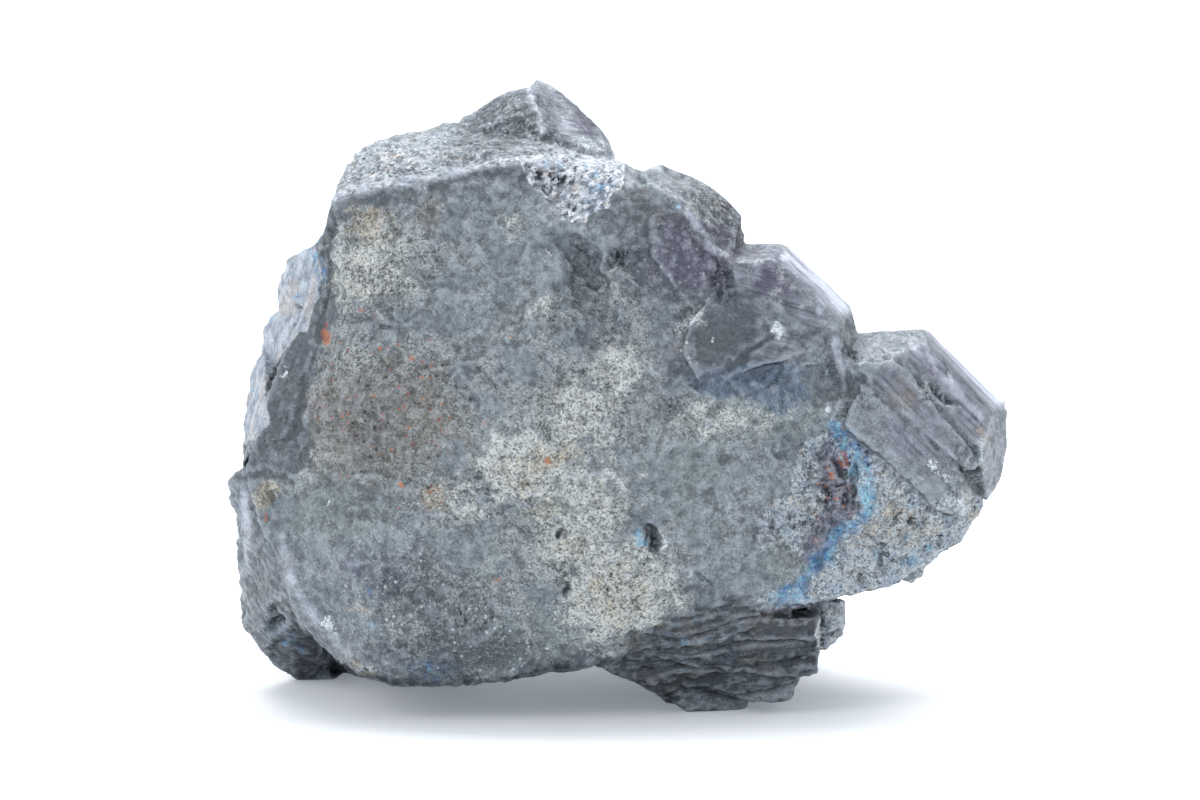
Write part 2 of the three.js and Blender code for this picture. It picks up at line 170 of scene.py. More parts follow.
DARK = [
    [16, 29, 3.5, 2, 0.45], [-22, 27.8, 3, 1.2, 0.3, 20], [-14, 25, 2, 4, 0.25, 10],
    [-16, 2.6, 6, 1.2, 0.6], [6.9, 29.2, 3.1, 1.4, 0.7, 15], [-2.4, 36.8, 1.1, 2.5, 0.7, 12],
    [-1.2, 39.7, 2.4, 1.4, 0.5], [-9.5, 33.4, 0.8, 1.9, 0.5], [-24.1, 41.5, 0.9, 2, 0.5, -20],
    [-15.9, 41.9, 1.5, 1.1, 0.5], [-30.2, 20.7, 1.5, 1, 0.7], [-21.7, 24.1, 5.2, 2.5, 0.35, 10],
    [-19.2, 5.6, 2.9, 2, 0.5], [-10, 11.2, 2.5, 2, 0.3], [5.3, 9.7, 2.9, 1.1, 0.4],
    [-10, 2, 4.6, 0.9, 0.8], [9.5, 20.8, 1.9, 1, 0.45, -20], [10.5, 27.1, 4.4, 0.8, 0.6],
    [18.1, 26.6, 4.2, 1.4, 0.7, 5], [16.9, 31.4, 1.7, 1.9, 0.6], [-4.1, 47.8, 2.2, 0.5, 0.6],
    [-3, 3.6, 6, 1.6, 0.8], [0.6, 43.6, 3, 1.4, 0.5, -10], [4.5, 38.5, 5.5, 4.2, 1],
    [8.5, 32.5, 5.5, 4.4, 0.8], [-9, 48.8, 5.5, 2.8, 0.85, 25], [-30, 10.5, 3.6, 8, 0.65],
    [-28, 5, 4, 4, 0.8], [-17.5, 10.2, 7, 4, 0.65], [-2.2, 51, 2.6, 3.4, 0.7, 45],
    [9.5, 29.5, 6, 2.4, 0.8, 10], [-23.5, 17, 5, 4, 0.45], [6, 12.5, 6, 3, 0.3],
    [13, 21, 4, 3, 0.35], [1.2, 41.8, 4.5, 2.2, 0.75, -15], [7, 20, 6, 5, 0.35],
    [0, 2.4, 7, 1.6, 0.9], [14.2, 12, 1.5, 1.7, 0.5], [-23.5, 17.5, 5.5, 3.6, 0.55],
    [-20.5, 12, 5, 3.5, 0.5], [8, 19, 6, 6, 0.45], [5, 37.5, 5, 3.5, 1],
    [8.8, 41.4, 3.6, 2.6, 0.5, -35], [-14.2, 4.6, 9, 2.6, 0.75], [-13, 7, 8, 3.5, 0.4],
]
BROWN = [
    [-20.3, 24.2, 7, 5.3, 0.8, 10], [-15.9, 41.9, 1, 1.2, 0.9], [1.9, 42.9, 1.7, 0.8, 0.7],
    [7.2, 30.8, 3, 1.4, 0.8, 15], [24.3, 26.1, 2.2, 1.2, 0.5, -45], [10.5, 3, 3.6, 1.6, 0.6, 5],
    [-12.5, 22.5, 2.6, 2.5, 0.35], [4, 41.6, 3.4, 1.2, 0.7], [5, 37, 4.5, 2, 0.5],
]
GREEN = [
    [-23.6, 17.5, 4.8, 3.6, 0.7], [-4.9, 17.5, 4.6, 5.4, 0.5], [11.7, 24.2, 5.4, 1.9, 0.6],
    [6.1, 20, 4.4, 6.8, 0.5], [-11.7, 12.4, 5.1, 3.4, 0.4], [-8, 5.6, 8, 2.6, 0.6],
    [-3.6, 49.8, 1.9, 1.2, 0.5], [14.2, 12, 1.5, 1.7, 0.9],
]
TAN = [
    [-21, 41, 1.9, 1.9, 0.9], [-29.9, 18.1, 1.1, 1.3, 0.9, -20], [-6.2, 21.1, 3.6, 1.1, 0.8, 12],
    [-7.9, 18.7, 1.5, 1.5, 0.6], [0, 9.8, 3, 2.7, 0.7], [-3.6, 13.6, 1.9, 1, 0.6],
    [-15.9, 17.6, 1.5, 1.4, 0.7, 30], [-6.6, 16.4, 1.9, 0.8, 0.6], [22.6, 15.8, 4.4, 2.9, 0.6, 20],
    [-21.7, 3.1, 1.5, 0.8, 0.9, -15], [-21.7, 8, 1.2, 0.4, 0.8], [31.1, 23.4, 0.5, 1.5, 0.6, 15],
    [29.6, 17.9, 0.6, 1.4, 0.7, 20], [-3.2, 42.4, 1.8, 1, 0.5, 20], [22, 18, 3, 2, 0.4],
    [17.2, 17, 1.6, 2.4, 0.5], [21.5, 11.6, 3, 1.2, 0.6, 15], [26, 14.5, 2.6, 1.6, 0.6, 25],
    [16, 17.8, 1.6, 2, 0.5], [30.2, 16.6, 0.8, 1.4, 0.7, -20],
]
VIOLET = [
    [-20.8, 11.4, 4.6, 2.4, 0.35], [13.9, 37.1, 3.6, 2, 0.6, -35], [-15.9, 5.6, 4.2, 2.5, 0.15],
    [12.9, 14.9, 1.4, 1.7, 0.5], [-2.4, 49.5, 1.2, 1.9, 0.5, 35], [27.3, 28.1, 3.9, 1.2, 0.4, -45],
    [18, 15.2, 1.2, 1.8, 1], [18.6, 19.5, 1, 2.4, 0.9, 10], [6.5, 38, 4.5, 3.5, 0.7],
    [-1.2, 38.6, 2, 2, 0.3],
]
BLUE = [
    [-25.4, 37.6, 0.6, 2.5, 0.7], [-27.8, 5.9, 0.7, 0.4, 0.9], [-26.6, 5.1, 0.5, 0.4, 0.9],
    [-15.9, 2.9, 0.8, 1, 0.5, 30], [-30.8, 26.9, 0.5, 0.8, 0.7], [-5, 45.8, 1.9, 0.5, 0.6],
    [24, 12.4, 3.4, 1, 0.6, 20], [17.2, 12.4, 1.4, 0.9, 0.7], [-21.2, 9.7, 0.4, 0.3, 0.8],
    [6.1, 5.6, 1.2, 0.5, 0.5], [2, 14.2, 0.5, 0.9, 0.9, 25], [22.5, 12.5, 3, 1.5, 0.5, 20],
    [-1.8, 44.4, 1.6, 1.2, 0.5], [15, 9.3, 2.4, 0.7, 0.7, 15], [-26.3, 38.2, 0.8, 1.4, 0.5],
    [-26.6, 35.2, 0.5, 2, 0.45], [-18, 44.6, 0.9, 0.5, 0.6, 10], [-21.4, 6.6, 0.8, 0.25, 0.6],
    [5.3, 42.7, 0.3, 0.3, 0.6],
]
CRUST = [
    [-19.3, 11.3, 3.7, 1.6, 0.4], [-22, 8.8, 3.7, 2, 0.42], [-24.6, 6.8, 1.3, 0.8, 0.75, -20],
    [-3.2, 26.1, 2.5, 1.7, 0.4, 30], [0.3, 28.6, 1.7, 1.4, 0.45, 30], [6.1, 32.7, 1.3, 0.6, 0.75, 15],
    [-5.5, 33.4, 1.4, 1.2, 0.4], [-6.1, 38.6, 0.3, 0.5, 0.9], [-21, 35.3, 3.4, 2.5, 0.3],
    [-12.2, 17.5, 2, 1.4, 0.4], [-4.7, 18.3, 2.9, 1.9, 0.4], [-8.3, 21.3, 2.2, 1.4, 0.5],
    [13.3, 31.6, 0.7, 0.7, 0.9], [17.7, 24.9, 0.3, 0.4, 1], [19.3, 33.1, 0.3, 1.2, 0.7, 25],
    [19.1, 30.6, 0.25, 1.9, 0.6], [20.7, 29.2, 0.6, 0.3, 0.7], [23.1, 29.8, 1, 0.25, 0.6, -15],
    [30.8, 21.5, 0.5, 2.3, 0.6, -12], [29.5, 18, 0.5, 1.3, 0.6, -20], [-21.7, 3, 1.2, 0.6, 0.9, 15],
    [-12.9, 1.6, 0.9, 0.4, 0.8, 15], [-28.4, 28.2, 0.4, 0.4, 0.8, 45], [-24.6, 17, 0.15, 0.4, 1, -20],
    [0, 9.8, 2.5, 2.2, 0.45], [-26.9, 8.1, 0.9, 2.5, 0.35, -20], [17.6, 6.3, 0.25, 1.9, 0.8],
    [-13.4, 7.3, 5.1, 3.4, 0.35], [10.3, 17, 2.5, 1.7, 0.3], [3.75, 14.5, 0.22, 0.9, 1, 12],
    [2.9, 13.2, 0.6, 0.2, 0.8, -20], [-18.5, 46.2, 3.5, 0.9, 0.5, 20], [-9.5, 46.4, 4, 0.5, 0.7, 8],
    [12.9, 14.8, 1, 2.2, 0.5, 15], [27.2, 20.2, 2, 0.4, 0.65, -56], [29.2, 17.2, 1.5, 0.7, 0.7, -70],
    [30.6, 19.4, 0.6, 1.6, 0.6, -15], [-10.8, 1.9, 1, 0.5, 0.8], [18.7, 6.4, 1, 1.8, 0.7],
    [17.2, 6.1, 0.25, 1.9, 0.9, 8],
]
ORANGE = [
    [-21.8, 33.6, 0.25, 0.45, 0.9], [-20.1, 30.5, 0.25, 0.35, 0.9], [-17.6, 29.5, 0.4, 0.3, 0.8],
    [-25.3, 24.5, 0.25, 0.25, 0.9], [-23.2, 23.4, 0.25, 0.2, 0.8], [-20.2, 21.3, 0.2, 0.35, 0.8],
    [-15.4, 40.3, 0.3, 0.2, 0.8], [-18.3, 18.8, 0.25, 0.35, 0.9], [-15.9, 18.2, 0.25, 0.45, 0.9, 30],
    [-11.3, 24, 0.25, 0.35, 0.9], [-9.2, 31.4, 0.3, 0.2, 0.8], [-8.1, 33.8, 0.2, 0.3, 0.8],
    [-4.3, 21.7, 0.3, 0.2, 0.8], [-5.9, 20.8, 0.3, 0.2, 0.9], [-29.7, 15.9, 0.2, 0.2, 0.9],
    [-21, 41.8, 0.25, 0.2, 0.9], [-10.3, 10.7, 0.35, 0.2, 0.8], [-24.7, 31.3, 0.45, 0.8, 1],
    [18.9, 20.6, 0.3, 0.8, 0.8, 15], [17.8, 16.6, 0.4, 0.5, 0.6], [19.6, 18.3, 0.3, 0.5, 0.6],
    [-22.6, 32.9, 0.2, 0.3, 0.7], [-23.9, 32, 0.2, 0.2, 0.7], [18.2, 19.6, 0.45, 0.35, 0.9, 30],
    [17.6, 18.6, 0.25, 0.25, 0.9], [18.5, 17.6, 0.3, 0.2, 0.8], [19.2, 17.2, 0.25, 0.25, 0.8],
    [16.9, 14.2, 0.6, 0.5, 0.5],
]
RED = [
    [-24.7, 32.4, 0.3, 0.3, 1], [-17.4, 22.3, 0.2, 0.2, 0.9], [19.3, 20.9, 0.4, 0.9, 0.9, 10],
]
# Hollows and bumps, with their depth or height as the strength.
CAVES = [
    [-2.6, 36.6, 1, 2.6, 0.6, 12], [-29.1, 7.4, 0.5, 0.7, 1.2], [-4.7, 14.7, 0.4, 0.4, 0.8],
    [-4.3, 10, 0.4, 0.4, 0.8], [-0.2, 38.2, 0.9, 0.6, 0.5], [8.8, 36.2, 1, 2, 0.5, 20],
    [9.4, 21.1, 0.9, 0.5, 0.4, -20], [14, 21.5, 0.7, 0.4, 0.4, -30], [27.6, 26.5, 1, 0.4, 0.5, -45],
    [-24.4, 2.6, 1.4, 0.8, 0.8, 15], [-2.4, 36, 1.3, 3.4, 0.5, 22], [3.1, 14.3, 0.5, 0.8, 0.9, 15],
    [19.2, 20.2, 0.95, 0.35, 0.9, -42],
]
BLOBS = [
    [-20.8, 38.3, 1.2, 0.6, 0.3], [-16.1, 34.6, 1.2, 1.1, 0.3], [-10.5, 32.5, 1.7, 2, 0.45],
    [-12, 27.5, 1.2, 2.5, 0.35, 10], [-5.4, 32.4, 1.8, 1.8, 0.3], [-0.9, 26, 2.6, 3.4, 0.3],
    [0.3, 9.8, 3, 3.8, 0.25], [-21.5, 4, 1.6, 0.8, 0.4, -15], [-6.2, 35, 1.2, 3.2, 0.45, -20],
]
# Lines: raised rims, painted pale as a highlight, and cracks, painted dark as shade.
RIMS = [
    [
        [-24.8, 42.7], [-21.8, 44.1], [-18.4, 44.5], [-14.1, 45.1],
        [-11.4, 46], [-8, 46.2], [-0.3, 46.3], [3.6, 45.6],
    ],
    [[5.3, 42.9], [6.7, 41], [8.2, 38.6], [9.2, 38.3]],
    [[25, 30.9], [27.2, 28.6], [30.6, 24.6]],
    [[12.2, 8.2], [15.4, 8.7], [18.8, 8.6]],
    [[-7.8, 52.4], [-6.6, 50.3], [-6.3, 48.8]],
    [[-31.6, 18.2], [-31.3, 13.5], [-31.9, 9.5]],
    [[-28.6, 14.4], [-27.6, 10.6], [-25.6, 7.2], [-22.9, 4.4]],
    [[22.9, 28.9], [24.1, 30]],
    [[17.2, 33.6], [18.4, 31.8], [19, 28.6]],
]
CRACKS = [
    [[-32.2, 19.6], [-30, 19.9], [-27.8, 19.2]],
    [[6.5, 27.2], [10.3, 29.3], [12.9, 31.4]],
    [[-24, 40.3], [-24.8, 38.4], [-24, 35.3], [-25.6, 30.7], [-26.2, 28.4], [-27.6, 22.8]],
    [[10.3, 5.9], [11, 5.9]],
    [[0.5, 4], [6, 4.6], [12, 6.2], [16.5, 6.8]],
    [[2, 2.4], [8, 2.2], [15, 3.4]],
]
# Kinds of surface: sugary crusts of tiny crystals, broken layers, smooth and grainy fracture, broken
# places among the crystal faces, faces on the broken stone, and dense pits.
SUGAR = [
    [17.8, 6.3, 1, 2, 0.9], [12.9, 14.8, 1.2, 2, 0.6, 15], [17, 6, 0.3, 2, 0.6, 8],
]
LEDGES = [
    [10, 5, 9.5, 3.8, 1, 6],
]
SMOOTH = [
    [-24.5, 37, 1.8, 5, 1], [-28, 26, 1.6, 5, 1], [-23.6, 17, 5, 4, 0.8],
    [8, 22, 8, 4, 0.6], [-14, 6, 10, 5.5, 0.9], [-4, 4.5, 7, 3, 0.7],
]
GRAINY = [
    [-21, 36.5, 4.5, 4.2, 1], [-20.5, 25.5, 8, 6.5, 0.9], [-3, 25.5, 5, 4, 0.9, 30],
    [0, 32, 2.5, 3, 0.7], [-5, 17, 6, 5, 0.8], [0, 9.8, 5, 4, 0.9],
    [-8.3, 20.6, 3, 2.4, 0.9], [-13, 17.3, 4, 3, 0.6], [8, 24.5, 5, 1.8, 0.5],
    [-13.5, 7.3, 6, 4, 0.7], [0.5, 37.8, 1.5, 1.2, 1], [-9, 48.5, 3.5, 2, 0.7, 20],
    [-16, 41, 1.6, 1.6, 0.7], [-5.5, 33, 2.2, 2.2, 0.6], [-20, 30.5, 5, 3, 0.6],
    [8.5, 41.2, 3.8, 2.6, 0.8, -35],
]
ROUGH = [
    [-9.6, 48.6, 5, 3.2, 1, 25], [8.2, 40, 2.2, 3.2, 0.8], [18, 30.5, 2.4, 2.6, 0.7],
    [26.5, 26.6, 1.8, 1, 0.9, -45],
]
FACES = [
    [-3.4, 50.4, 2.4, 3.6, 1, 50], [7.2, 30.8, 3.2, 1.6, 0.6, 20], [14.5, 36, 4.5, 2.6, 0.6, -35],
]
PITTED = [
    [-17.6, 45, 1.6, 0.7, 0.8, 15], [0.3, 38, 1.2, 0.8, 1], [9.3, 41.3, 1, 1.6, 0.8],
    [8.8, 36, 1, 1.8, 0.8, 20], [26.9, 26.6, 1.4, 0.7, 0.9, -45], [-20.2, 45.6, 3, 1.2, 0.5, 18],
    [4.5, 25.5, 1.6, 1, 0.7, 40], [2, 22.3, 1, 0.8, 0.6], [-29, 17.9, 0.8, 0.8, 0.6],
    [-20.9, 3.2, 1.6, 0.8, 0.8], [-1, 14, 4, 1.2, 0.35, 10], [-4.8, 11.5, 1, 1, 0.5],
    [18.5, 29.5, 1.2, 2, 0.5], [3.1, 14.3, 0.35, 0.7, 1, 15], [-12, 47.6, 4, 1, 0.35, 15],
    [29, 21, 1, 2, 0.5], [-5, 44.5, 1.8, 0.8, 1, 24], [-4.4, 41.9, 0.5, 0.5, 1],
    [-5.4, 42.9, 0.6, 0.3, 1, -20], [-4.5, 45.8, 0.6, 0.3, 0.9], [-7, 45.4, 0.8, 0.8, 0.9],
    [-0.2, 44, 0.6, 0.4, 0.7, 45], [18.4, 17.8, 1.4, 1.2, 1], [16.9, 20.6, 1, 0.8, 0.8, 20],
    [15.5, 16, 0.9, 0.8, 0.8], [24.5, 15.8, 1.8, 1, 0.9, 10], [22.6, 13, 1, 0.8, 0.8],
    [17.4, 22.2, 0.4, 0.8, 0.8], [9, 40.6, 2.4, 2, 0.6, -35], [-19, 45.4, 2.4, 0.8, 0.7, 15],
    [-13, 46.4, 2, 0.5, 0.6, 15],
]
# Lines along the crystals' bevels, which get a painted highlight.
BEVELS = [
    [[14.8, 38.3], [17.2, 36.1], [19.3, 33.9]],
    [[27.2, 31.5], [29.6, 29.2], [32.3, 26.1]],
]
# More places of tints, crusts and specks.
NAVY = [
    [10.8, 27.9, 5, 1.2, 1, 6], [13.5, 26.6, 3, 1.6, 0.8, 10], [-16, 3, 3, 1.2, 0.5],
    [-28.5, 6, 2, 2, 0.5],
]
TOP_CRUST = [
    [-19.5, 45.6, 6, 2.6, 1, 18], [-12, 47.2, 5, 1.6, 0.9, 12], [-6, 46.9, 6, 1.2, 1],
]
RUSTY = [
    [-20, 26, 6.5, 7.5, 1], [-17, 18.5, 3, 2, 0.9, 30], [-6, 21, 3, 1.2, 0.8, 10],
    [-15.5, 40.5, 1.6, 1.2, 0.8], [-29.5, 17.4, 1, 1.6, 0.9], [-10.3, 11, 1, 1.2, 0.8],
    [22.5, 14.5, 3, 2, 0.5], [18.2, 18.6, 1.6, 2.8, 1],
]
# Places with pale flecks painted as glints, and with more white dust.
FLECKED = [
    [-18, 10, 7, 5, 1], [-10, 6, 9, 4, 1], [7, 31, 4, 2.2, 0.8, 15],
    [5, 38, 5, 4, 0.6], [-26.5, 8, 1.5, 5, 0.7, -20], [-9, 48.5, 4.5, 2.5, 1, 20],
    [24, 15, 6, 4, 0.7, 30], [11, 24.5, 5, 2, 0.6],
]

# Lines on the front, [u, v] from point to point: the upper and the lower edge of the broken face,
# and the blue and the purple tarnish at the right.
TOP_RIM = [
    [-24.8, 42.7], [-22.9, 43.5], [-20.6, 44.1], [-18.1, 44.5], [-16, 45], [-14.1, 45.3],
    [-12.3, 46], [-10.6, 46.5], [-8.6, 46.6], [-6.4, 46], [-2.5, 46.2], [-0.2, 46.4], [3.6, 45.6],
]
# The lower edge of the broken face gets painted shade along it.
UNDERSIDE = [
    [-25.6, 4.4], [-23.3, 2.7], [-20.5, 2.2], [-18.3, 1.8], [-14.4, 1.7], [-10.2, 2], [-6.4, 2.8],
    [-5.4, 3.1], [-1.4, 2.7], [1.8, 1.7], [5, 0.8],
]
TARNISH = [
    [18.6, 23.2], [19.3, 22.3], [20, 21.2], [20.6, 19.7], [21.1, 18.6], [20.9, 17], [20.4, 15.8],
    [19.4, 15.1], [18.2, 14], [17, 12.6], [16.1, 10.9], [14, 9.5],
]
PURPLE = [
    [17.8, 21.6], [18.4, 20.4], [18.2, 19], [18.8, 17.4], [18.2, 15.8], [16.9, 14.5], [16.6, 13],
]
# Outlines on the front. The frosted slab at the left and the dark strip beside it share an edge.
SLAB_EDGE = [
    [-26.3, 40.5], [-25.6, 38.6], [-25.1, 36.4], [-25.5, 35.5], [-25.3, 34.7], [-25.8, 33.9],
    [-26.2, 31.8], [-26.9, 31.6], [-28.2, 30.3], [-29.2, 28.7], [-29.8, 26.9],
]
FROST = [
    SLAB_EDGE + [[-29.6, 24], [-31, 22.5], [-36, 22], [-36, 42], [-27, 42]],
    [[17.5, 8.2], [19.8, 8.8], [20.2, 5], [18.6, 3.8], [17.6, 4.6]],
]
SLAB = [
    SLAB_EDGE + [
        [-29.6, 24.4], [-31, 22.6], [-31.9, 20.2], [-28, 19.6], [-26, 20.6], [-26.3, 24],
        [-26.4, 27.5],
        [-25.4, 30.6], [-24.6, 31.6], [-23.5, 33], [-23.9, 35.2], [-24.4, 36.6], [-24.3, 38.5],
        [-23.4, 40], [-22.6, 41.6], [-24.8, 42.6],
    ],
]
SHARDS = [
    [
        [-7.5, 44.2], [-6.6, 43.6], [-6, 43], [-4.8, 42.3], [-4.8, 41.2], [-2.8, 41.1],
        [-2.3, 41.8], [-0.8, 42.3], [-0.8, 43.2], [0.3, 44.2], [0.6, 45.8], [0.6, 46.6], [-8.6, 46.8],
    ],
]
LOOSE = [
    [
        [18.2, 23.6], [17.2, 23.1], [15.6, 22.4], [14.7, 19.7], [14.5, 18], [12.9, 17.2],
        [12.3, 14.2], [13.5, 13.6], [14.8, 12.8], [15.9, 10.4], [12.9, 9.9], [11, 8.4], [16, 7.6],
        [22, 8], [30, 12], [32, 17.5], [28.5, 18.5], [26.4, 17.2], [22.9, 20.8], [21.3, 21.7],
    ],
]


# Noise


def lattice(i, j, k, seed):
    """A whole number for each lattice point, the same for the same seed."""
    mixed = i * MIX_X ^ j * MIX_Y ^ k * MIX_Z
    mixed ^= np.uint32(seed * SEED_STEP + SEED_START)
    mixed = (mixed ^ (mixed >> np.uint32(13))) * MIX_FIRST
    mixed = (mixed ^ (mixed >> np.uint32(15))) * MIX_LAST
    return mixed ^ (mixed >> np.uint32(16))


def bits(number, first, count):
    """Some of a whole number's bits, as a number of their own."""
    return number >> np.uint32(first) & np.uint32(2**count - 1)


def signed(number, first, count):
    """Some of a whole number's bits, spread from -1 to 1."""
    return bits(number, first, count) / ((2**count - 1) / 2) - 1


def noise(places, size, seed):
    """Smooth gradient noise, about -1 to 1, with lumps of about the given size."""
    at = places / size
    low = np.floor(at)
    part = at - low
    low = low.astype(np.int64).astype(np.uint32)
    blend = part * part * part * (part * (part * 6 - 15) + 10)
    total = np.zeros(len(places))
    for corner in range(8):
        step = np.array([corner & 1, corner >> 1 & 1, corner >> 2])
        value = lattice(*(low + step.astype(np.uint32)).T, seed)
        away = part - step
        angle = bits(value, 0, 10) * (math.tau / 1024)
        height = signed(value, 10, 10)
        ring = np.sqrt(1 - height * height)
        slope = away[:, 0] * ring * np.cos(angle) + away[:, 1] * ring * np.sin(angle) + away[:, 2] * height
        weight = np.prod(np.where(step == 1, blend, 1 - blend), axis=1)
        total += weight * slope
    return total * NOISE_GAIN


def rough(places, size, seed, layers=3, gain=0.5):
    """Noise with finer and weaker layers on it."""
    return sum(
        gain**n * noise(places, size / 2**n, seed + LAYER_SEEDS * n) for n in range(layers)
    )


def cells(places, size, seed):
    """For a packing of random cells: the distance to the nearest cell's middle and to the next one,
    as shares of the size, the nearest cell's number and the way from its middle."""
    at = places / size
    low = np.floor(at)
    base = low.astype(np.int64).astype(np.uint32)
    first = np.full(len(places), np.inf)
    second = np.full(len(places), np.inf)
    number = np.zeros(len(places), np.uint32)
    way = np.zeros_like(places)
    for step in np.ndindex(3, 3, 3):
        step = np.array(step) - 1
        corner = (base.astype(np.int64) + step).astype(np.uint32)
        value = lattice(*corner.T, seed)
        middle = np.stack([bits(value, shift, 10) / 1023 for shift in (0, 10, 20)], 1)
        offset = at - (low + step + middle)
        gap = np.sqrt((offset**2).sum(1))
        nearer = gap < first
        second = np.where(nearer, first, np.minimum(second, gap))
        first = np.where(nearer, gap, first)
        number = np.where(nearer, value, number)
        way = np.where(nearer[:, None], offset, way)
    return first, second, number, way


def chips(places, size, seed):
    """Flat chips that meet at steps, as a brittle fracture leaves them, about -1 to 1."""
    first, second, number, way = cells(places, size, seed)
    tilt = np.stack([signed(number, shift, 8) for shift in (2, 11, 19)], 1)
    lean = (tilt * way).sum(1)
    step = signed(number, 5, 6)
    edge = np.clip((second - first) / CHIP_EDGE, 0, 1)
    return (lean + CHIP_STEP * step) * edge * edge * (3 - 2 * edge)


def ease(values, low, high):
    """0 up to low, 1 from high on, and smooth between."""
    t = np.clip((values - low) / (high - low), 0, 1)
    return t * t * (3 - 2 * t)


# The front view and its places


def front_places(places):
    """[u, v] of points given in millimetres."""
    distance = VIEW_DISTANCE / MM
    offset = places - np.array(VIEW_MIDDLE) / MM
    depth = distance + offset @ AHEAD
    u = VIEW_ORIGIN[0] + offset[:, 0] * distance / depth
    v = VIEW_ORIGIN[1] + (offset @ UP) * distance / depth
    return np.stack([u, v], 1)


def patch(uv, u, v, wide, high, strength, turn=0):
    """The strength inside an ellipse of these half sizes and turn, falling to 0 around its edge."""
    angle = math.radians(turn)
    du, dv = uv[:, 0] - u, uv[:, 1] - v
    along = (du * math.cos(angle) + dv * math.sin(angle)) / wide
    across = (dv * math.cos(angle) - du * math.sin(angle)) / high
    reach = np.sqrt(along**2 + across**2)
    return strength * (1 - ease(reach, 1 - PATCH_EDGE, 1 + PATCH_EDGE))


def patches(uv, rows):
    """The strongest of a table's patches."""
    found = np.zeros(len(uv))
    for row in rows:
        found = np.maximum(found, patch(uv, *row))
    return found


def line_distance(uv, points):
    """How far each place is from a line through the points."""
    nearest = np.full(len(uv), np.inf)
    for start, end in zip(points, points[1:]):
        start, way = np.array(start), np.array(end) - np.array(start)
        share = np.clip((uv - start) @ way / (way @ way), 0, 1)
        nearest = np.minimum(nearest, np.hypot(*(uv - start - share[:, None] * way).T))
    return nearest


def stroke(uv, points, width, edge=0.6):
    """1 along a line through the points, falling to 0 around half its width."""
    return 1 - ease(line_distance(uv, points) / (width / 2), 1 - edge, 1 + edge)


def strokes(uv, lines, width):
    """1 along any of several lines."""
    return np.max([stroke(uv, line, width) for line in lines], 0)


def inside(uv, outlines, soft=0.15):
    """1 inside any of the closed outlines, falling to 0 across the edge."""
    found = np.zeros(len(uv))
    for outline in outlines:
        closed = outline + outline[:1]
        within = np.zeros(len(uv), bool)
        for (u, v), (next_u, next_v) in zip(closed, closed[1:]):
            if v != next_v:
                crosses = (v > uv[:, 1]) != (next_v > uv[:, 1])
                within ^= crosses & (uv[:, 0] < u + (uv[:, 1] - v) * (next_u - u) / (next_v - v))
        away = line_distance(uv, closed)
        found = np.maximum(found, ease(np.where(within, away, -away), -soft, soft))
    return found


def above_rim(uv):
    """How far each place lies above the top rim of the front, in millimetres."""
    us, vs = np.array(TOP_RIM).T
    return uv[:, 1] - np.interp(uv[:, 0], us, vs)


# The stone


def crystal_share(mesh, places):
    """1 where a point lies on a large flat face of the solid, and 0 where the stone is broken."""
    mesh.calc_loop_triangles()
    corners = np.empty(len(mesh.vertices) * 3, np.float32)
    mesh.vertices.foreach_get("co", corners)
    corners = corners.reshape(-1, 3).astype(float) / MM
    faces = np.array([t.vertices[:] for t in mesh.loop_triangles])
    a, b, c = (corners[faces[:, n]] for n in range(3))
    normal = np.cross(b - a, c - a)
    area = np.linalg.norm(normal, axis=1) / 2
    normal /= np.maximum(2 * area, 1e-9)[:, None]
    offset = (normal * a).sum(1)
    plane = np.round(np.column_stack([normal * SAME_NORMAL, offset * SAME_OFFSET])).astype(np.int64)
    _, group = np.unique(plane, axis=0, return_inverse=True)
    group = group.ravel()
    total = np.bincount(group, weights=area)[group]
    tree = BVHTree.FromPolygons([Vector(p) for p in corners], faces.tolist())
    nearest = np.array([tree.find_nearest(Vector(p))[2] for p in places])
    return ease(total[nearest], CRYSTAL_FACE * 0.7, CRYSTAL_FACE * 1.3)


def neighbour_mean(values, edges, count, rounds):
    """Values evened out over the mesh's edges."""
    reach = np.bincount(edges.ravel(), minlength=count)
    for _ in range(rounds):
        total = np.zeros_like(values)
        np.add.at(total, edges[:, 0], values[edges[:, 1]])
        np.add.at(total, edges[:, 1], values[edges[:, 0]])
        shape = (-1,) + (1,) * (values.ndim - 1)
        values = (values + total) / (1 + reach.reshape(shape))
    return values


def mesh_arrays(mesh):
    """A mesh's points in millimetres, its edges and its points' normals."""
    places = np.empty(len(mesh.vertices) * 3, np.float32)
    mesh.vertices.foreach_get("co", places)
    edges = np.empty(len(mesh.edges) * 2, np.int32)
    mesh.edges.foreach_get("vertices", edges)
    normals = np.empty(len(mesh.vertices) * 3, np.float32)
    mesh.vertex_normals.foreach_get("vector", normals)
    return (
        places.reshape(-1, 3).astype(float) / MM,
        edges.reshape(-1, 2),
        normals.reshape(-1, 3).astype(float),
    )


def applied(obj):
    """The object's mesh with its modifiers applied, in place of the old one."""
    graph = bpy.context.evaluated_depsgraph_get()
    mesh = bpy.data.meshes.new_from_object(obj.evaluated_get(graph))
    obj.modifiers.clear()
    obj.data = mesh
    return mesh


def remeshed(node):
    """An even, dense copy of a solid's surface."""
    obj = bpy.data.objects.new("bournonite_stone", node.data.copy())
    bpy.context.scene.collection.objects.link(obj)
    remesh = obj.modifiers.new("even", "REMESH")
    remesh.mode = "VOXEL"
    remesh.voxel_size = VOXEL * MM
    return obj, applied(obj)


def ledges(height, size, seed):
    """Broken layers one above the other: how far each stands out, and the gap under each."""
    layer = np.floor(height / size).astype(np.int64)
    part = height / size - layer
    flat = np.zeros_like(layer).astype(np.uint32)
    outs = [signed(lattice((layer + n).astype(np.uint32), flat, flat, seed), 0, 8) for n in (0, 1)]
    blend = ease(part, 0.8, 1.0)
    return outs[0] * (1 - blend) + outs[1] * blend, ease(part, 0.72, 0.84) * (1 - ease(part, 0.9, 1.0))


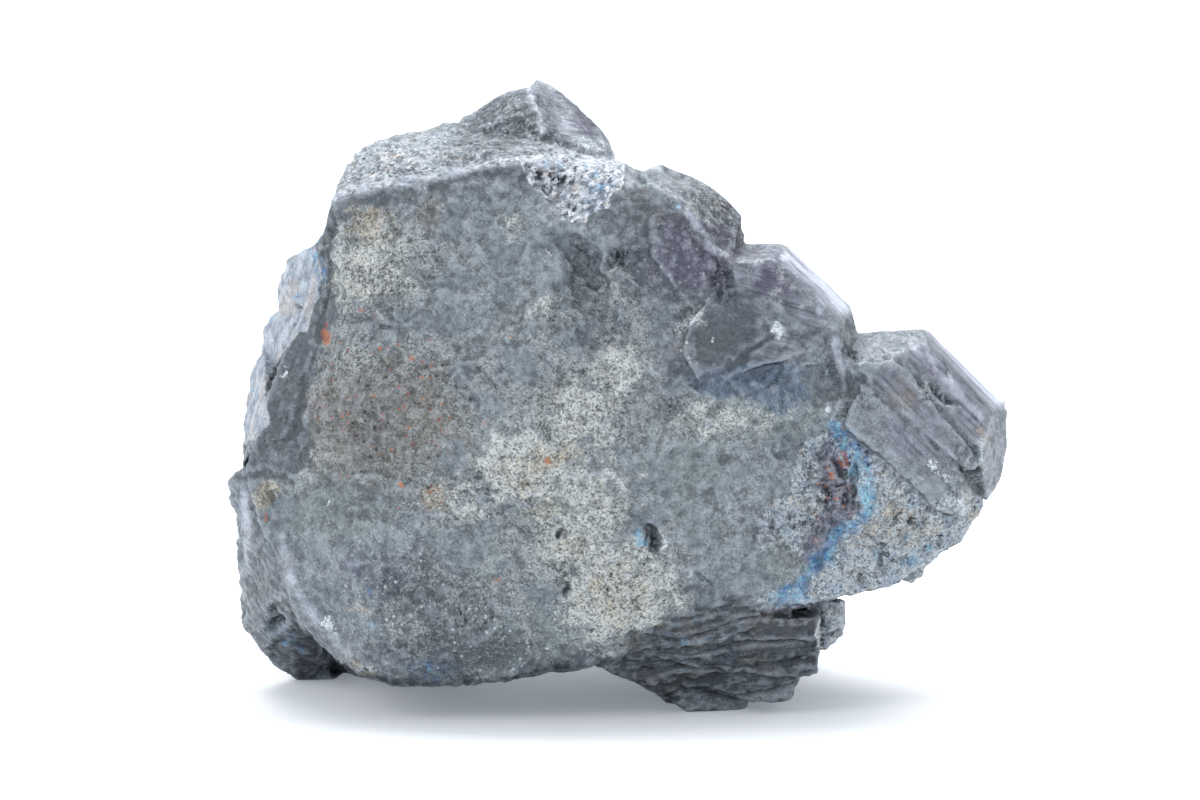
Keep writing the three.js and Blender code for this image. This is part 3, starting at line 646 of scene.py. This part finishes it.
def zones(places, normals):
    """Where on the stone each point is: its place on the front, that place with a ragged and with a
    slightly uneven edge, how far it faces front, and the shares of sugary crust and ledges."""
    facing = ease(-(normals @ AHEAD), -0.05, 0.25)
    wave = np.stack([rough(places, WAVE_SIZE, seed, 4, 0.6) for seed in (41, 42)], 1)
    uv = front_places(places)
    ragged = uv + RAGGED * wave
    close = uv + CLOSE * wave
    wild = rough(places, 9.0, 43, 3)
    top_crust = patches(ragged, TOP_CRUST) * ease(above_rim(close), -0.1, 0.2)
    front_sugar = np.maximum(patches(ragged, SUGAR), top_crust)
    front_sugar = np.maximum(front_sugar, np.maximum(inside(close, SHARDS), 0.75 * inside(close, LOOSE)))
    rear_sugar = (1 - facing) * ease(wild, 0.05, 0.4) * 0.9
    sugar = np.maximum(facing * front_sugar, rear_sugar)
    layered = facing * patches(ragged, LEDGES)
    return uv, ragged, close, facing, sugar, layered


def faced(crystal, ragged, facing):
    """The share of crystal face, with the broken and the smooth places on the front put right."""
    crystal = crystal * (1 - facing * patches(ragged, ROUGH))
    return np.maximum(crystal, facing * patches(ragged, FACES))


def relief(places, normals, crystal):
    """How far the surface stands out at each point, in millimetres."""
    uv, ragged, close, facing, sugar, layered = zones(places, normals)
    crystal = faced(crystal, ragged, facing)
    slanting = ease(places[:, 0], *SLANT_FROM)
    lumps = CHIP_HEIGHT * chips(places, 3.4, 11) + LUMP_HEIGHT * rough(places, 2.6, 12)
    depth = (1 - crystal) * (lumps + GRAIN_HEIGHT * rough(places, 0.8, 13, 2))
    smooth = facing * np.maximum(patches(ragged, SMOOTH), inside(close, FROST + SLAB))
    depth *= 1 - np.maximum(0.65 * smooth, 0.85 * layered)
    dents = ease(noise(places, 0.9, 15), 0.45, 0.8)
    depth += crystal * (FACE_HEIGHT * rough(places, 2.5, 14, 2) - DENT_DEPTH * dents)

    first, _, number, _ = cells(places, 0.75, 16)
    lone = bits(number, 7, 3) == 0
    depth += sugar * (SUGAR_HEIGHT * (0.5 - first) + SUGAR_HEIGHT * noise(places, 0.5, 17))
    holed = sugar * lone * ease(noise(places, 3.0, 22), -0.1, 0.4)
    depth -= holed * HOLE_DEPTH * (1 - ease(first, 0.2, 0.5))

    for angle, share in ((CROSS_GROOVES, 1 - slanting), (SLANT_GROOVES, slanting)):
        along = np.array([math.cos(angle), 0, math.sin(angle)])
        across = np.array([-along[2], 0, along[0]])
        grooved = np.stack([places @ across, places[:, 1] * DRAWN_BACK, (places @ along) * DRAWN_ALONG], 1)
        depth += crystal * share * GROOVE_HEIGHT * rough(grooved, 0.9, 18, 3)

    height = uv[:, 1] - LEDGE_RISE * uv[:, 0] + 1.6 * noise(places, 7.0, 19) + 0.12 * chips(places, 1.8, 23)
    out, gap = ledges(height, LEDGE, 20)
    fine_out, fine_gap = ledges(height + 0.4 * noise(places, 2.0, 24), FINE_LEDGE, 25)
    broken_off = 0.5 + 0.5 * chips(places, 2.6, 26)
    fine = broken_off * (FINE_LEDGE_OUT * fine_out - FINE_LEDGE_OUT * fine_gap)
    depth += layered * (LEDGE_OUT * out - LEDGE_GAP * gap + fine)

    for row in CAVES:
        depth -= facing * patch(ragged, *row)
    for row in BLOBS:
        depth += facing * patch(ragged, *row)
    for line in CRACKS:
        depth -= CRACK_DEPTH * facing * stroke(ragged, line, 0.8)
    for line in RIMS:
        depth += RIM_HEIGHT * facing * stroke(ragged, line, 0.9)
    return depth


def marked(mesh, shares, places, edges, normals):
    """Gives the mesh the shares that its material mixes its minerals, painted shade and painted highlights
    by.
    """
    uv, ragged, close, facing, sugar, layered = zones(places, normals)
    rear = 1 - facing
    wild = [rough(places, size, 61 + n, 3) for n, size in enumerate((7.0, 5.0, 6.0, 4.0, 8.0))]
    torn = ragged + 0.5 * np.stack([noise(places, 1.0, seed) for seed in (73, 74)], 1)
    near = uv + 0.12 * np.stack([noise(places, 0.6, seed) for seed in (71, 72)], 1)
    bend = ((neighbour_mean(places, edges, len(places), 3) - places) * normals).sum(1)
    loose, frost, slab = (facing * inside(close, outlines) for outlines in (LOOSE, FROST, SLAB))
    drop = -above_rim(close)
    under_rim = ease(drop, 0.0, 0.3) * (1 - ease(drop, 1.2, 3.4))
    band = under_rim * ease(uv[:, 0], -25.0, -23.0) * (1 - ease(uv[:, 0], -7.0, -5.0))
    top = patches(ragged, TOP_CRUST) * ease(above_rim(close), 0.0, 0.4)

    def front(rows, at=ragged):
        """A table's patches on the front."""
        return facing * patches(at, rows)

    def all_round(values, strength, field, low, high):
        """The front's values, and patches of noise on the sides and the back."""
        return np.maximum(values, rear * strength * ease(field, low, high))

    purple = facing * stroke(ragged, PURPLE, 2.2, 0.9)
    tarnish = facing * 0.85 * stroke(ragged, TARNISH, 1.9, 0.95)
    dark = np.max([front(DARK), 0.8 * slab, 0.95 * facing * band], 0)
    given = {
        "crystal": faced(shares, ragged, facing),
        "grainy": all_round(np.maximum(front(GRAINY), 0.5 * loose), 1, wild[1], -0.2, 0.3),
        "frost": all_round(frost, 0.45, -wild[0], 0.25, 0.5),
        "shards": facing * np.maximum(inside(close, SHARDS), 0.45 * top),
        "ledges": layered,
        "slanting": ease(places[:, 0], *SLANT_FROM),
        "navy": front(NAVY),
        "pitted": all_round(front(PITTED), 0.7, wild[4], 0.25, 0.5),
        # Painted highlight along the crystals' bevels.
        "bevel": facing * strokes(uv + 0.15 * (ragged - uv), BEVELS, 1.5),
        "sugar": sugar,
        "pale": all_round(front(PALE), 0.5, wild[0], 0.0, 0.5),
        "dark": all_round(dark, 0.8, wild[1], -0.1, 0.4),
        "brown": all_round(front(BROWN), 0.5, wild[2], 0.2, 0.5),
        "green": front(GREEN),
        "tan": all_round(front(TAN), 0.7, wild[3], 0.35, 0.6),
        "violet": all_round(np.maximum(front(VIOLET), purple), 0.6, wild[4], 0.2, 0.6),
        "blue": all_round(np.maximum(front(BLUE), tarnish), 0.45, -wild[3], 0.35, 0.6),
        "crust": all_round(front(CRUST, torn), 0.4, -wild[0], 0.2, 0.5),
        "rusty": all_round(front(RUSTY), 0.8, wild[3], 0.2, 0.5),
        "flecked": all_round(front(FLECKED), 1, wild[2], -0.1, 0.4),
        # Painted shade where the surface faces down and along the front's lower edge.
        "under": np.maximum(ease(-normals[:, 2], 0.55, 0.95), facing * stroke(close, UNDERSIDE, 0.9)),
        "orange": front(ORANGE, near),
        "red": front(RED, near),
        # Painted highlight along the rims, and painted shade along the cracks.
        "rim": facing * strokes(uv + 0.2 * (ragged - uv), RIMS, 0.7),
        "crack": facing * strokes(ragged, CRACKS, 0.5),
        # Hollows and crests from the mesh's bend, for painted shade and a painted highlight.
        "cavity": ease(bend, 0.01, 0.09),
        "ridge": ease(-bend, 0.012, 0.08),
    }
    for name, values in given.items():
        layer = mesh.attributes.new(name, "FLOAT", "POINT")
        layer.data.foreach_set("value", np.clip(values, 0, 1).astype(np.float32))


def lightened(stone, normals):
    """The stone's mesh with fewer triangles, most of them kept on the front."""
    mesh = stone.data
    weight = 1 - (1 - FRONT_WEIGHT) * ease(-(normals @ AHEAD), -0.3, 0.2)
    group = stone.vertex_groups.new(name="less_detail")
    levels = np.round(weight * WEIGHT_LEVELS)
    for level in np.unique(levels):
        group.add(np.flatnonzero(levels == level).tolist(), level / WEIGHT_LEVELS, "REPLACE")
    lighter = stone.modifiers.new("lighter", "DECIMATE")
    lighter.ratio = TRIANGLES / (2 * len(mesh.polygons))
    lighter.use_collapse_triangulate = True
    lighter.vertex_group = "less_detail"
    lighter.vertex_group_factor = WEIGHT_FACTOR
    mesh = applied(stone)
    stone.vertex_groups.clear()
    return mesh


def dressed_stone(node):
    """The stone with its relief, in place of the solid that carries it."""
    stone, mesh = remeshed(node)
    places, edges, normals = mesh_arrays(mesh)
    crystal = neighbour_mean(crystal_share(node.data, places), edges, len(places), 4)
    moved = places + normals * relief(places, normals, crystal)[:, None]
    moved[:, 2] = np.maximum(moved[:, 2], 0)
    mesh.vertices.foreach_set("co", (moved * MM).astype(np.float32).ravel())

    mesh = lightened(stone, normals)
    mesh.name = "bournonite_stone"
    mesh.shade_smooth()
    places, edges, normals = mesh_arrays(mesh)
    shares = neighbour_mean(crystal_share(node.data, places), edges, len(places), 2)
    marked(mesh, shares, places, edges, normals)
    return stone


# Materials


def tone(red, green, blue):
    """A colour given by its display values from 0 to 255."""
    linear = [c / 255 / 12.92 if c < 11 else ((c / 255 + 0.055) / 1.055) ** 2.4 for c in (red, green, blue)]
    return (*linear, 1)


class Shader:
    """A material's nodes, each added by one call that takes numbers or other nodes' outputs."""

    def __init__(self, name):
        self.material = bpy.data.materials.new(name)
        self.material.use_nodes = True
        self.tree = self.material.node_tree
        self.surface = self.tree.nodes["Principled BSDF"]
        self.at = self.add("TexCoord", {}, "Object")

    def add(self, kind, values, output=0, **settings):
        node = self.tree.nodes.new("ShaderNode" + kind)
        for name, value in settings.items():
            setattr(node, name, value)
        for name, value in values.items():
            self.put(node.inputs[name], value)
        return node.outputs[output]

    def put(self, socket, value):
        if isinstance(value, bpy.types.NodeSocket):
            self.tree.links.new(value, socket)
        else:
            socket.default_value = value

    def maths(self, operation, first, second):
        return self.add("Math", {0: first, 1: second}, operation=operation)

    def times(self, first, second):
        return self.maths("MULTIPLY", first, second)

    def plus(self, first, second):
        return self.maths("ADD", first, second)

    def larger(self, first, second):
        return self.maths("MAXIMUM", first, second)

    def vector(self, operation, first, second, output=0):
        return self.add("VectorMath", {0: first, 1: second}, output, operation=operation)

    def share(self, name):
        """The numbers that the mesh carries under a name."""
        return self.add("Attribute", {}, "Fac", attribute_name=name)

    def ramp(self, value, low, high, start=0.0, end=1.0):
        """Goes smoothly from start to end as a value goes from low to high."""
        return self.add(
            "MapRange",
            {"Value": value, "From Min": low, "From Max": high, "To Min": start, "To Max": end},
            interpolation_type="SMOOTHSTEP",
        )

    def mix(self, factor, first, second):
        return self.add("Mix", {0: factor, 6: first, 7: second}, 2, data_type="RGBA", clamp_factor=True)

    def shade(self, value, low, high, first, second, strength=1.0):
        """Mixes a second colour into the first as a value goes from low to high."""
        return self.mix(self.ramp(value, low, high, 0.0, strength), first, second)

    def noise(self, at, size, detail=3.0, roughness=0.55, output=0):
        values = {"Vector": at, "Scale": 1 / size, "Detail": detail, "Roughness": roughness}
        return self.add("TexNoise", values, output)

    def grains(self, at, size):
        """Random grains: the distance from each one's middle, its random colour and its middle."""
        grain = self.add("TexVoronoi", {"Vector": at, "Scale": 1 / size}).node
        return grain.outputs["Distance"], grain.outputs["Color"], grain.outputs["Position"]

    def channels(self, colour):
        return self.add("SeparateColor", {0: colour}).node.outputs

    def facets(self, size, steep):
        """A height in metres that gives each random grain its own tilted flat face."""
        _, colour, middle = self.grains(self.at, size)
        way = self.vector("SUBTRACT", self.at, middle)
        tilt = self.vector("SUBTRACT", colour, (0.5, 0.5, 0.5))
        return self.times(self.vector("DOT_PRODUCT", way, tilt, "Value"), steep)

    def drawn_out(self, angle, spread=DRAWN_ALONG):
        """Coordinates drawn out along a slope in the front's plane."""
        along = (math.cos(angle), 0, math.sin(angle))
        across = (-along[2], 0, along[0])
        length = self.vector("DOT_PRODUCT", self.at, along, "Value")
        parts = {
            "X": self.vector("DOT_PRODUCT", self.at, across, "Value"),
            "Y": self.vector("DOT_PRODUCT", self.at, (0, DRAWN_BACK, 0), "Value"),
            "Z": self.times(length, spread),
        }
        return self.add("CombineXYZ", parts)


class Mineral(Shader):
    """The stone's material: grey fracture and crystal faces under crusts, tints and specks, with painted
    shade and painted highlights.
    """

    def __init__(self):
        super().__init__("bournonite")
        self.broad = self.noise(self.at, BROAD)
        self.film = self.noise(self.at, FILM, 4, 0.6)
        self.middle = self.noise(self.at, MIDDLE, 4, 0.65)
        self.blotch = self.noise(self.vector("ADD", self.at, BLOTCH_OFFSET), BLOTCH, 4, 0.65)
        self.fine = self.noise(self.at, FINE, 3, 0.65)
        self.speckle = self.channels(self.grains(self.at, GRAIN)[1])
        self.lit = self.plus(self.times(self.fine, 0.55), self.times(self.speckle[0], 0.45))
        self.crystal = self.share("crystal")
        self.broken = self.maths("SUBTRACT", 1.0, self.crystal)
        self.grainy = self.share("grainy")
        self.sugar = self.share("sugar")
        level, steep = self.drawn_out(CROSS_GROOVES), self.drawn_out(SLANT_GROOVES)
        slopes = {0: self.share("slanting"), 4: level, 5: steep}
        self.grooves = self.noise(self.add("Mix", slopes, 1, data_type="VECTOR"), GROOVE, 4, 0.65)
        self.colour = self.mix(self.crystal, self.fracture(), self.faces())

    def cover(self, amount, paint):
        """Mixes a paint into the colour."""
        self.colour = self.mix(amount, self.colour, paint)

    def lay(self, name, paint, low=0.25, high=0.65, strength=1.0, by=None, gain=1.6):
        """Lays a paint where the mesh's share under the name is high, with an edge broken by noise."""
        amount = self.plus(self.share(name), self.times(self.plus(by or self.blotch, -0.5), gain))
        self.cover(self.times(self.ramp(amount, low, high), strength), paint)

    def fracture(self):
        """Broken stone: cool grey, warm and of higher contrast where grainy, under thin films."""
        contrast = self.plus(self.times(self.grainy, 1.5), 0.6)
        spread = self.plus(self.times(self.plus(self.lit, -0.5), contrast), 0.5)
        cool = self.shade(spread, 0.2, 0.8, tone(72, 80, 86), tone(156, 164, 170))
        warm = self.shade(spread, 0.12, 0.52, tone(62, 66, 68), tone(146, 149, 145))
        warm = self.shade(spread, 0.6, 0.95, warm, tone(200, 200, 192), 0.7)
        stone = self.mix(self.times(self.grainy, 0.75), cool, warm)
        stone = self.shade(self.film, 0.5, 0.56, stone, tone(100, 111, 122), 0.6)
        return self.shade(self.broad, 0.3, 0.7, stone, tone(92, 104, 114), 0.35)

    def faces(self):
        """Crystal faces: violet grey, with dark and bright grooves."""
        face = self.shade(self.middle, 0.3, 0.7, tone(92, 95, 108), tone(132, 135, 148))
        face = self.shade(self.lit, 0.5, 0.75, face, tone(150, 156, 168), 0.3)
        face = self.shade(self.grooves, 0.5, 0.38, face, tone(58, 60, 70), 0.65)
        return self.shade(self.grooves, 0.56, 0.68, face, tone(160, 164, 178), 0.5)

    def splinters(self):
        """Bright long splinters, some of them peach, sky blue or dark."""
        bent = self.noise(self.at, BLOTCH, 2, output=1)
        bent = self.add("VectorMath", {0: bent, "Scale": SPLINTER_BEND}, operation="SCALE")
        turned = {"Vector": self.vector("ADD", self.at, bent), "Angle": SPLINTER_TURN}
        turned = self.add("VectorRotate", turned, rotation_type="Y_AXIS")
        drawn = self.vector("MULTIPLY", turned, SPLINTER_SCALE)
        chance = self.channels(self.grains(drawn, SPLINTER)[1])
        paint = self.shade(chance[0], 0.1, 0.8, tone(134, 144, 158), tone(224, 229, 238))
        peach = self.times(self.ramp(self.middle, 0.5, 0.62), self.ramp(chance[1], 0.4, 0.6, 0.0, 0.7))
        paint = self.mix(peach, paint, tone(222, 204, 190))
        sky = self.times(self.ramp(self.blotch, 0.5, 0.6), self.ramp(chance[2], 0.4, 0.6, 0.0, 0.6))
        paint = self.mix(sky, paint, tone(150, 178, 204))
        return self.shade(chance[2], 0.12, 0.08, paint, tone(60, 68, 78), 0.7)

    def layers(self):
        """The ledges: dark, brushed along their slope, bluish and brownish in places."""
        brushed = self.noise(self.drawn_out(LEDGE_SLOPE, 0.16), LAYER, 4, 0.7)
        paint = self.shade(brushed, 0.4, 0.62, tone(12, 15, 19), tone(66, 75, 84))
        paint = self.shade(brushed, 0.6, 0.68, paint, tone(146, 156, 164), 0.7)
        paint = self.shade(self.blotch, 0.54, 0.6, paint, tone(44, 70, 88), 0.5)
        return self.shade(self.broad, 0.5, 0.6, paint, tone(78, 70, 64), 0.5)

    def minerals(self):
        """Lays the minerals and tints, from the lowest to the topmost."""
        lit, middle, blotch = self.lit, self.middle, self.blotch
        sugar = self.shade(lit, 0.3, 0.6, tone(106, 117, 128), tone(176, 185, 193))
        sugar = self.shade(middle, 0.54, 0.66, sugar, tone(112, 144, 172), 0.4)
        sugar = self.shade(blotch, 0.55, 0.62, sugar, tone(204, 202, 199), 0.6)
        self.lay("sugar", sugar, 0.25, 0.6, by=middle)
        for name, dark, light, low, high, strength in (
            ("green", (92, 104, 104), (142, 153, 150), 0.25, 0.65, 0.6),
            ("brown", (82, 78, 76), (140, 136, 130), 0.25, 0.65, 0.65),
            ("dark", (42, 48, 56), (86, 94, 104), 0.3, 0.8, 0.85),
            ("violet", (48, 46, 64), (104, 98, 124), 0.25, 0.65, 0.7),
        ):
            self.lay(name, self.mix(lit, tone(*dark), tone(*light)), low, high, strength)
        pale = self.shade(lit, 0.28, 0.5, tone(112, 118, 120), tone(194, 198, 195))
        pale = self.shade(lit, 0.52, 0.7, pale, tone(218, 218, 214), 0.7)
        self.lay("pale", pale, strength=0.8, by=middle)
        sand = self.shade(lit, 0.3, 0.6, tone(98, 92, 80), tone(184, 172, 150))
        self.lay("tan", sand, 0.3, 0.9, 0.6)
        self.lay("shards", self.splinters(), 0.3, 0.6, by=middle, gain=0.6)
        self.lay("ledges", self.layers(), 0.3, 0.6, 0.95, gain=0.6)
        frost = self.shade(middle, 0.35, 0.65, tone(122, 132, 146), tone(190, 198, 210))
        frost = self.shade(self.film, 0.5, 0.6, frost, tone(190, 180, 176), 0.6)
        frost = self.shade(blotch, 0.56, 0.64, frost, tone(146, 172, 198), 0.5)
        frost = self.shade(lit, 0.42, 0.3, frost, tone(110, 118, 130), 0.35)
        self.lay("frost", frost, 0.35, 0.6, 0.92, gain=0.6)
        white = self.shade(lit, 0.25, 0.6, tone(146, 156, 166), tone(206, 212, 218))
        self.lay("crust", white, 0.5, 0.7, by=self.fine, gain=1.3)
        self.lay("navy", self.mix(lit, tone(56, 72, 90), tone(104, 124, 146)), 0.3, 0.7, 0.85)
        tarnish = self.shade(middle, 0.4, 0.6, tone(44, 108, 160), tone(122, 184, 210))
        tarnish = self.shade(self.fine, 0.5, 0.62, tarnish, tone(104, 96, 140), 0.6)
        gate = self.ramp(self.share("blue"), 0.0, 0.25, 0.0, 0.85)
        self.lay("blue", tarnish, 0.35, 1.0, gate, gain=2.4)
        self.lay("orange", tone(176, 104, 64), 0.4, 0.8, 0.85, by=middle)
        self.lay("red", tone(160, 62, 54), 0.4, 0.8, 0.85, by=middle)

    def specks(self):
        """Rusty spots, pale flecks painted as glints, white dust and dark soot."""
        near, spots, _ = self.grains(self.at, SPOT)
        pick = self.channels(spots)
        spot = self.ramp(near, 0.26, 0.15)
        rusty = self.times(spot, self.ramp(pick[0], 0.55, 0.57))
        rusty = self.times(rusty, self.ramp(self.share("rusty"), 0.2, 0.9, 0.0, 0.7))
        self.cover(rusty, self.shade(pick[1], 0.45, 0.55, tone(178, 112, 72), tone(158, 66, 56)))
        flecked = self.share("flecked")
        # Pale flecks painted as glints.
        flecks = self.times(spot, self.ramp(pick[0], 0.45, 0.43))
        self.cover(self.times(flecks, self.ramp(flecked, 0.2, 0.9, 0.0, 0.6)), tone(198, 206, 214))
        dust = self.ramp(self.speckle[1], 0.92, 0.95)
        dust = self.times(dust, self.plus(self.times(flecked, 0.2), 0.1))
        self.cover(self.times(dust, self.broken), tone(196, 202, 206))
        soot = self.ramp(self.speckle[2], 0.9, 0.93, 0.0, 0.35)
        self.cover(self.times(soot, self.broken), tone(44, 49, 56))

    def pits(self):
        """The share of small pits, which get painted shade and a dent in the bump."""
        holes = self.times(self.plus(self.broad, -0.5), -0.35)
        holes = self.plus(self.noise(self.at, HOLE, 4, 0.6), holes)
        pits = self.times(self.ramp(holes, 0.38, 0.3), self.plus(self.times(self.grainy, 0.5), 0.3))
        pits = self.larger(pits, self.times(self.sugar, self.ramp(holes, 0.4, 0.32)))
        return self.larger(pits, self.times(self.share("pitted"), self.ramp(holes, 0.52, 0.44)))

    def paint_shade_and_highlights(self, pits):
        """Paints shade into pits, hollows, cracks and undersides, and paints highlights on ridges, rims and
        bevels.
        """
        # Painted shade in the pits.
        self.cover(pits, tone(30, 35, 42))
        # Painted shade in hollows, cracks and undersides, and a painted highlight on ridges.
        for name, strength, colour in (
            ("cavity", 0.45, (62, 68, 76)),
            ("crack", 0.6, (58, 64, 72)),
            ("under", 0.8, (24, 28, 33)),
            ("ridge", 0.3, (168, 176, 186)),
        ):
            self.cover(self.times(self.share(name), strength), tone(*colour))
        # A painted highlight along the raised rims, made uneven by noise.
        uneven = self.ramp(self.middle, 0.38, 0.6, 0.05, 0.6)
        self.cover(self.times(self.share("rim"), uneven), tone(186, 192, 206))
        # A painted highlight in streaks along the crystals' bevels.
        streaks = self.noise(self.drawn_out(SLANT_GROOVES, 0.03), STREAK, 2)
        shine = self.ramp(streaks, 0.35, 0.55, 0.3, 0.95)
        self.cover(self.times(self.share("bevel"), shine), tone(206, 212, 226))

    def bump(self, pits):
        """The finest relief: tilted facets, grains, grooves and pits."""
        rugged = self.plus(self.times(self.larger(self.grainy, self.sugar), 0.8), 0.42)
        rugged = self.times(self.broken, rugged)
        facets = self.plus(self.facets(FACET, 1.3), self.facets(LARGE_FACET, 0.7))
        height = self.times(facets, self.plus(rugged, 0.12))
        height = self.plus(height, self.times(self.times(self.fine, rugged), FINE_BUMP))
        height = self.plus(height, self.times(self.times(self.grooves, self.crystal), GROOVE_BUMP))
        height = self.plus(height, self.times(pits, -PIT_BUMP))
        return self.add("Bump", {"Height": height, "Strength": 1.0, "Distance": 1.0})

    def metal(self, pits):
        """How metallic the stone is: most in the painted shade of pits and undersides, and on violet and
        ledges, so that the dark stays dark.
        """
        dark = self.times(pits, 0.8)
        for name, strength in (("under", 0.8), ("violet", 0.3), ("ledges", 0.12)):
            dark = self.larger(dark, self.times(self.share(name), strength))
        return self.plus(self.plus(self.times(self.crystal, 0.2), 0.15), dark)


def mineral():
    """The material of the whole stone."""
    stone = Mineral()
    stone.minerals()
    stone.specks()
    pits = stone.pits()
    stone.paint_shade_and_highlights(pits)
    inputs = stone.surface.inputs
    stone.put(inputs["Base Color"], stone.colour)
    stone.put(inputs["Normal"], stone.bump(pits))
    stone.put(inputs["Metallic"], stone.metal(pits))
    roughness = stone.plus(stone.ramp(stone.fine, 0.3, 0.7, 0.42, 0.62), stone.times(stone.crystal, -0.1))
    stone.put(inputs["Roughness"], roughness)
    inputs["Specular IOR Level"].default_value = 0.5
    return stone.material


def floor_paint():
    """A white surface with faint clouds, glowing a little so that its shadows stay pale."""
    paint = Shader("white_surface")
    cloud = paint.noise(paint.at, CLOUD, 4)
    inputs = paint.surface.inputs
    paint.put(inputs["Base Color"], paint.mix(cloud, *FLOOR_COLOURS))
    paint.put(inputs["Roughness"], paint.ramp(cloud, 0.3, 0.7, 0.5, 0.6))
    inputs["Emission Color"].default_value = FLOOR_GLOW_COLOUR
    inputs["Emission Strength"].default_value = FLOOR_GLOW
    return paint.material


# The studio


def ground():
    """The white surface under the stone."""
    mesh = bpy.data.meshes.new("ground")
    half = FLOOR_WIDTH / 2
    corners = [(-half, -half, 0), (half, -half, 0), (half, half, 0), (-half, half, 0)]
    mesh.from_pydata(corners, [], [(0, 1, 2, 3)])
    mesh.materials.append(floor_paint())
    floor = bpy.data.objects.new("ground", mesh)
    bpy.context.scene.collection.objects.link(floor)


def softbox(name, place, size, power):
    """A soft lamp that shines at the middle of the stone."""
    light = bpy.data.lights.new(name, "AREA")
    light.shape = "RECTANGLE"
    light.size, light.size_y = size
    light.energy = power
    lamp = bpy.data.objects.new(name, light)
    lamp.location = place
    lamp.rotation_euler = (VIEW_MIDDLE - Vector(place)).to_track_quat("-Z", "Y").to_euler()
    bpy.context.scene.collection.objects.link(lamp)


def studio():
    """A white room with two soft lamps."""
    world = bpy.data.worlds.new("white")
    world.use_nodes = True
    background = world.node_tree.nodes["Background"].inputs
    background["Color"].default_value = WORLD_COLOUR
    background["Strength"].default_value = WORLD_LIGHT
    bpy.context.scene.world = world
    for lamp in LAMPS:
        softbox(*lamp)
    bpy.context.scene.view_settings.view_transform = "Standard"
    bpy.context.scene.view_settings.look = "None"


def camera():
    """The camera that takes the front view."""
    ahead = Vector(AHEAD)
    data = bpy.data.cameras.new("front")
    data.sensor_width = SENSOR
    data.lens = SENSOR * VIEW_DISTANCE / VIEW_WIDTH
    data.clip_start, data.clip_end = 0.01, 20
    front = bpy.data.objects.new("front", data)
    front.location = VIEW_MIDDLE - VIEW_DISTANCE * ahead
    front.rotation_euler = ahead.to_track_quat("-Z", "Y").to_euler()
    bpy.context.scene.collection.objects.link(front)
    bpy.context.scene.camera = front


camera()
studio()
ground()
stone = dressed_stone(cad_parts["bournonite_cluster"])
stone.data.materials.clear()
stone.data.materials.append(mineral())
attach(stone, "root")
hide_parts("bournonite_cluster")
